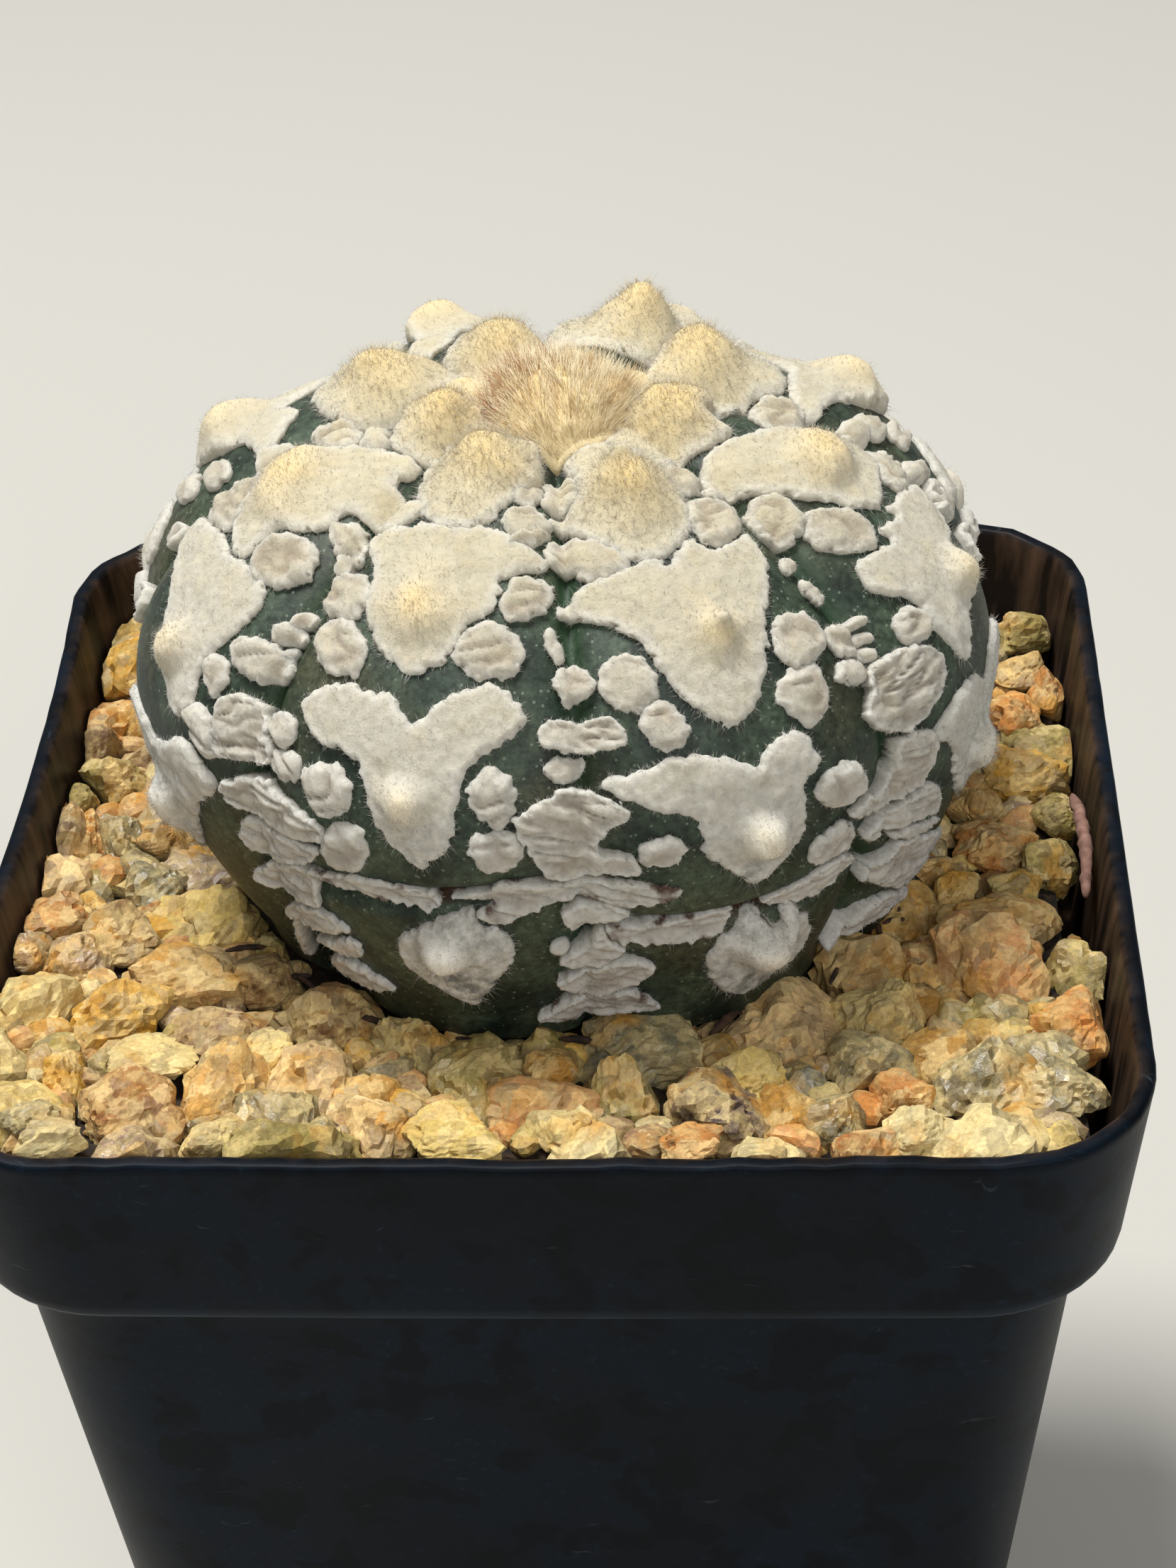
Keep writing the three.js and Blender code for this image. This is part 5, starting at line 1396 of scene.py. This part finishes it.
def grainShapes(ball, grains, rng, rough):
    # Broken granite: along a direction n the surface lies at (sum of max(n.m / d, 0)^p)^(-1/p) over random
    # facets with outward direction m and distance d, so p sets how sharp the edges are. Noise then pits it.
    # grains holds x, y, z, half width, half depth, half height and turn for each. Returns count x n x 3.
    count, power = len(grains), gravelSet["sharpness"]
    facets = unit(rng.randn(count, gravelSet["facets"], 3))
    reach = 0.72 + 0.33 * rng.rand(count, gravelSet["facets"])
    along = np.einsum("vk,gfk->gvf", ball, facets) / reach[:, None, :]
    radius = np.maximum((np.maximum(along, 0) ** power).sum(-1), 0.01) ** (-1 / power)
    place = ball[None] * 2 + rng.rand(count, 1, 3) * 60
    size = grains[:, 3, None, None]
    knobs = roughNoise(*np.moveaxis(place * np.maximum(size, 1) * 0.55, -1, 0), seed=1, layers=4) - 0.5
    pits = smoothStep(softNoise(*np.moveaxis(place * size * 1.6, -1, 0), seed=9), 0.6, 0.85)
    radius = np.minimum(radius, 1.4) * (1 + rough * (0.42 * knobs - 0.16 * pits))
    x, y, z = np.moveaxis(ball[None] * radius[..., None], -1, 0)
    y, z = turned(y, z, rng.rand(count, 2)[:, :1])
    x, y = turned(x * grains[:, 3:4], y * grains[:, 4:5], grains[:, 6:7])
    return np.stack([x, y, z * grains[:, 5:6]], -1) + grains[:, None, :3]


def graniteMaterial(k):
    # Decomposed granite: mineral grains of feldspar, quartz and iron-stained clay crust. The crust is matt
    # and rough, the quartz faces are smooth, clear grey and glossy.
    material, tree, shader = newMaterial("decomposedGranite", {
        "IOR": 1.54, "Subsurface Weight": 0.1, "Subsurface Scale": 0.001,
    })
    where = addNode(tree, "TexCoord").outputs["Object"]
    tint = addNode(tree, "Attribute", {"attribute_name": "tint"}).outputs["Color"]
    clear = addNode(tree, "Attribute", {"attribute_name": "clear"}).outputs["Fac"]
    crust, warp, fine, stain = (
        addNode(tree, "TexNoise", {"Scale": perMetre(k[size]), "Detail": detail, "Roughness": rough,
                                   "Vector": where})
        for size, detail, rough in (
            ("crustSize", 6, 0.68), ("warpSize", 3, 0.5), ("gritSize", 4, 0.75), ("stainSize", 4, 0.5)))
    shift = addNode(tree, "VectorMath", {
        "operation": "SCALE", "Scale": k["warpFar"] * metre, 0: warp.outputs["Color"]})
    bent = addNode(tree, "VectorMath", {"operation": "ADD", 0: where, 1: shift})
    crystal = addNode(tree, "TexVoronoi", {"Scale": perMetre(k["crystalSize"]), "Vector": bent})
    mineral = addNode(tree, "SeparateColor", {0: crystal.outputs["Color"]}).outputs
    rock, rust, feldspar, quartz, facet, grit, glass = (
        addNode(tree, "ValToRGB", {"stops": stops, 0: source}) for source, stops in (
            (crust, [(0.42, 0.0), (0.58, 1.0)]), (stain, [(0.52, 0.0), (0.68, 0.75)]),
            (mineral[0], [(0.6, 0.0), (0.8, 0.45)]), (mineral[1], [(0.72, 0.0), (0.85, 0.4)]),
            (mineral[2], [(0.1, 0.72), (0.9, 1.12)]), (fine, [(0.32, 0.55), (0.62, 1.05)]),
            (crust, [(0.45, 1.0), (0.6, 0.0)])))
    pale = layered(tree, tint, [(0.45, k["pale"])])
    colour = layered(tree, tint, [
        (rock, pale), (rust, k["rust"]), (feldspar, k["feldspar"]), (quartz, k["quartz"])])
    colour = layered(tree, colour, [(0.7, facet), (0.75, grit)], "MULTIPLY")
    share = addNode(tree, "Math", {"operation": "MULTIPLY", 0: clear, 1: glass})
    share = addNode(tree, "Math", {"operation": "MAXIMUM", 0: share, 1: quartz})
    gloss = addNode(tree, "MapRange", {"To Min": 0.82, "To Max": 0.18, "Value": share})
    relief = layered(tree, crust, [(0.5, fine)])
    bump = addNode(tree, "Bump", {"Strength": 0.5, "Distance": k["deep"] * metre, "Height": relief})
    fillSockets(tree, shader, {"Base Color": colour, "Roughness": gloss, "Normal": bump})
    return material


def keptInPot(points):
    # Flattens what would stick into the pot's wall against its inner face, whose left side bows inwards.
    k = potSet
    half = k["rimSide"] / 2 - k["draft"] * (k["height"] - points[..., 2]) - k["wall"] - 0.25
    corner = k["rimCorner"] - k["wall"]
    bow = np.where(points[..., 0] < 0, -k["bows"][2], 0) * np.maximum(1 - (points[..., 1] / 26) ** 2, 0)
    x, y = points[..., 0] - bow, points[..., 1]
    reach = half - corner
    overX, overY = np.maximum(np.abs(x) - reach, 0), np.maximum(np.abs(y) - reach, 0)
    fit = np.minimum(1, corner / np.maximum(np.hypot(overX, overY), 1e-6))
    x = np.sign(x) * (np.minimum(np.abs(x), reach) + overX * fit) + bow
    y = np.sign(y) * (np.minimum(np.abs(y), reach) + overY * fit)
    return np.stack([x, y, points[..., 2]], -1)


def addGrains(name, fineness, grains, names, rough, rng, material, replaces=()):
    # Grains of one fineness as one piece, with their tints and how clear they are.
    ball, quads = ballGrid(fineness)
    points = keptInPot(grainShapes(ball, grains, rng, rough))
    count, n = points.shape[:2]
    faces = (quads[None] + n * np.arange(count)[:, None, None]).reshape(-1, 4)
    colours = np.array([toLinear(tints[tint]) for tint in names])
    colours[:, :3] = np.clip(colours[:, :3] * (1 + 0.16 * (rng.rand(count, 1) - 0.5)), 0, 1)
    clear = np.array([tint in clearTints for tint in names], float)
    values = {"tint": np.repeat(colours, n, 0), "clear": np.repeat(clear, n)}
    addPiece(name, points.reshape(-1, 3), faces, material, "granite_gravel", values, replaces, smooth=False)


def addGravel(k):
    rng = np.random.RandomState(77)
    material = graniteMaterial(graniteSet)
    anyTint = list(tints)[:-1]

    def onBed(spot):
        # True outside the cactus's foot and clear of the pot's round corners.
        beside = np.hypot(*(spot - np.array(globeSet["place"][:2])).T) > k["footClear"]
        return beside & (np.hypot(*np.maximum(0, np.abs(spot) - 25).T) < 7)

    def laid(entries, drops=0):
        # Seats each grain with its upper part in view, as in the solids.
        x, y, wide, tall, turn = np.array(entries, float).T
        z = gravelLevel(y) + 0.4 - 0.8 * tall - drops
        return np.column_stack([x, y, z, wide, 0.55 * (wide + tall), tall, np.radians(turn * 0.4)])

    def lying(spot, size, drop, shape):
        # Small grains under the gravel's level, with their depth and height as shares of their width.
        z = gravelLevel(spot[:, 1]) - drop[0] - drop[1] * rng.rand(len(spot))
        return np.column_stack([spot, z, size, size * shape[0], size * shape[1], rng.rand(len(spot)) * 6])

    shown = laid([g[:5] for g in shownGrains])
    addGrains("gravel_shown", 10, shown, [g[5] for g in shownGrains], 1.0, rng, material, ["gravel"])
    between = fillerGrains(k)
    names = rng.choice(anyTint, len(between))
    seated = laid([g[:5] for g in between], np.array([g[5] for g in between]))
    addGrains("gravel_between", 8, seated, names, 1.0, rng, material)
    # Small stones fill the gaps between the grains, each as wide as its gap.
    line = np.arange(-30.5, 30.6, k["stonePitch"])
    spot = np.stack(np.meshgrid(line, line), -1).reshape(-1, 2)
    spot = spot + 0.9 * (rng.rand(*spot.shape) - 0.5)
    laidOut = np.array([g[:3] for g in shownGrains] + [g[:3] for g in between])
    room = (np.hypot(*(spot[:, None] - laidOut[None, :, :2]).T).T - 0.8 * laidOut[:, 2]).min(1)
    free = (room > 0.35) & onBed(spot)
    spot, size = spot[free], np.clip(room[free] + 0.45, 0.8, 1.7)
    stones = lying(spot, size, k["stoneDrop"], k["stoneShape"])
    addGrains("gravel_stones", 4, stones, rng.choice(anyTint, len(spot)), 0.9, rng, material)
    # Crumbs of grit lie deeper in the gaps.
    spot = (rng.rand(4 * k["crumbs"], 2) - 0.5) * 64
    spot = spot[onBed(spot)][:k["crumbs"]]
    size = 0.35 + 0.7 * rng.rand(len(spot)) ** 2.5
    crumbs = lying(spot, size, k["crumbDrop"], k["crumbShape"])
    addGrains("gravel_crumbs", 2, crumbs, rng.choice(k["crumbTints"], len(spot)), 0.6, rng, material)
    # The bed under them is a square block with a lumpy top.
    line = np.linspace(-k["bedHalf"], k["bedHalf"], k["bedCells"])
    x, y = np.meshgrid(line, line, indexing="ij")
    lumps = k["bedLumps"] * (roughNoise(x / 1.6, y / 1.6, seed=4, layers=3) - 0.5)
    upper = np.stack([x, y, gravelLevel(y) - k["bedBelowGrains"] + lumps], -1).reshape(-1, 3)
    lower = np.stack([x * 0.93, y * 0.93, np.full_like(x, k["bedFloor"])], -1).reshape(-1, 3)
    triangles = asTriangles(gridFaces(k["bedCells"], k["bedCells"], False))
    points, faces, _ = closedSheet(triangles, [upper, lower], {})
    # near-black: partly the fines' own colour, partly painted shade deep in the gaps between grains
    stops = [(0.35, k["finesAndGapShadeDark"]), (0.7, k["finesPale"])]
    fines = mottledMaterial("gritFinesAndGapShade", 0.95, 0.7, 5, stops, 0.4)
    addPiece("gravel_bed", points, faces, fines, "granite_gravel")


addGravel(gravelSet)


# Loose bits.
fibreSet = {
    "rightWall": [(32.6, -6.5, 72.2), (32.8, -3.5, 73.4), (32.7, 0, 73.6), (32.5, 3.5, 72.9)],
    "radius": 0.45,
    "darkPink": "#6b4c40",
    "pinkBrown": "#9a7565",
    "barkCount": 26,
    "barkRing": 21.6,
    "barkDark": "#1d130c",
    "barkBrown": "#4a3220",
}


def curvePoints(places, count):
    # Points along a smooth curve through the places.
    p = np.array(places, float)
    p = np.concatenate([2 * p[:1] - p[1:2], p, 2 * p[-1:] - p[-2:-1]])
    t = np.linspace(0, len(places) - 1 - 1e-6, count)
    k = t.astype(int)
    return cubic(p[k], p[k + 1], p[k + 2], p[k + 3], (t - k)[:, None])


def stick(places, radius, sides=10, count=40, seed=0):
    # A round section carried along the curve: centre + radius (side cos a + up sin a), thin at both ends
    # and uneven along its length.
    centre = curvePoints(places, count)
    ahead = unit(np.gradient(centre, axis=0))
    side = unit(np.cross(ahead, [0, 0, 1.0]))
    up = np.cross(side, ahead)
    t = np.linspace(0, 1, count)
    angle = np.arange(sides) / sides * 2 * np.pi
    width = radius * np.sqrt(np.sin(np.pi * np.clip(t, 0.004, 0.996))) ** 0.5
    bumps = 0.7 + 0.5 * softNoise(t[:, None] * 22, angle[None] * 1.2, seed=seed)
    ring = np.cos(angle)[None, :, None] * side[:, None] + np.sin(angle)[None, :, None] * up[:, None]
    points = centre[:, None] + (width[:, None] * bumps)[..., None] * ring
    caps = [np.repeat(centre[i][None, None], sides, 1) for i in (0, -1)]
    points = np.concatenate([caps[0], points, caps[1]])
    return points.reshape(-1, 3), gridFaces(count + 2, sides, True), {}


def addLooseBits(k):
    # Withered root fibre: dry, matt and mottled.
    fibre = mottledMaterial("witheredRootFibre", 0.85, 0.6, 4, [(0.3, k["darkPink"]), (0.7, k["pinkBrown"])])
    points, faces, _ = stick(k["rightWall"], k["radius"])
    addPiece("root_fibre_bit", points, faces, fibre, "dry_fibre", None, ["root_fibre"])
    # Shreds of bark lie round the front foot of the cactus, on the gravel.
    rng = np.random.RandomState(5)
    shreds = []
    for i in range(k["barkCount"]):
        angle = math.radians(-150 + 140 * (i + rng.rand()) / k["barkCount"])
        reach = k["barkRing"] + 1.2 * rng.rand()
        x, y = globeSet["place"][0] + reach * math.cos(angle), globeSet["place"][1] + reach * math.sin(angle)
        along = angle + math.pi / 2 + 0.5 * rng.randn()
        half = 0.6 + 0.9 * rng.rand()
        way = np.array([half * math.cos(along), half * math.sin(along), 0.25 * rng.randn()])
        middle = np.array([x, y, float(gravelLevel(y)) - 0.75 + 0.35 * rng.rand()])
        places = [middle - way, middle + [0, 0, 0.15], middle + way]
        shreds.append(stick(places, 0.16 + 0.16 * rng.rand(), 6, 10, i))
    bark = mottledMaterial("driedBark", 0.9, 0.7, 4, [(0.35, k["barkDark"]), (0.65, k["barkBrown"])])
    addPiece("bark_shreds", *joined(shreds)[:2], bark, "dry_fibre")


addLooseBits(fibreSet)


def addSoil():
    # Crumbly dark potting soil, quite matt.
    peat = mottledMaterial("pottingSoil", 0.95, 1.2, 5, [(0.35, "#1c140e"), (0.7, "#4b3727")], 0.4)
    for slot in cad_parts["soil"].material_slots:
        slot.material = peat


addSoil()


# Floor and light.
stageSet = {
    "floor": "#c3c0b7",
    "reach": 4,
    "aim": (0, 0, 0.08),
    "sky": (0.94, 0.97, 1.0),
    "skyStrength": 0.22,
    "overhead": {"place": (-0.2, 0.1, 0.9), "size": 0.32, "power": 9.5},
    "front": {"place": (0.3, -0.9, 0.8), "size": 0.6, "power": 5.2},
}


def addStage(k):
    mesh = bpy.data.meshes.new("floor")
    corners = [(x * k["reach"], y * k["reach"], 0) for x, y in ((-1, -1), (1, -1), (1, 1), (-1, 1))]
    mesh.from_pydata(corners, [], [(0, 1, 2, 3)])
    floor = bpy.data.objects.new("floor", mesh)
    bpy.context.scene.collection.objects.link(floor)
    mesh.materials.append(newMaterial("paleFloor", {"Roughness": 0.9, "Base Color": k["floor"]})[0])
    world = bpy.data.worlds.new("sky")
    world.use_nodes = True
    back = world.node_tree.nodes["Background"]
    back.inputs["Color"].default_value = k["sky"] + (1,)
    back.inputs["Strength"].default_value = k["skyStrength"]
    bpy.context.scene.world = world
    for name in ("overhead", "front"):
        data = bpy.data.lights.new(name, "AREA")
        data.shape = "DISK"
        data.size = k[name]["size"]
        data.energy = k[name]["power"]
        light = bpy.data.objects.new(name, data)
        light.location = k[name]["place"]
        aim = Vector(k["aim"]) - light.location
        light.rotation_euler = aim.to_track_quat("-Z", "Y").to_euler()
        bpy.context.scene.collection.objects.link(light)


addStage(stageSet)
bpy.context.scene.view_settings.view_transform = "Standard"

print("done")
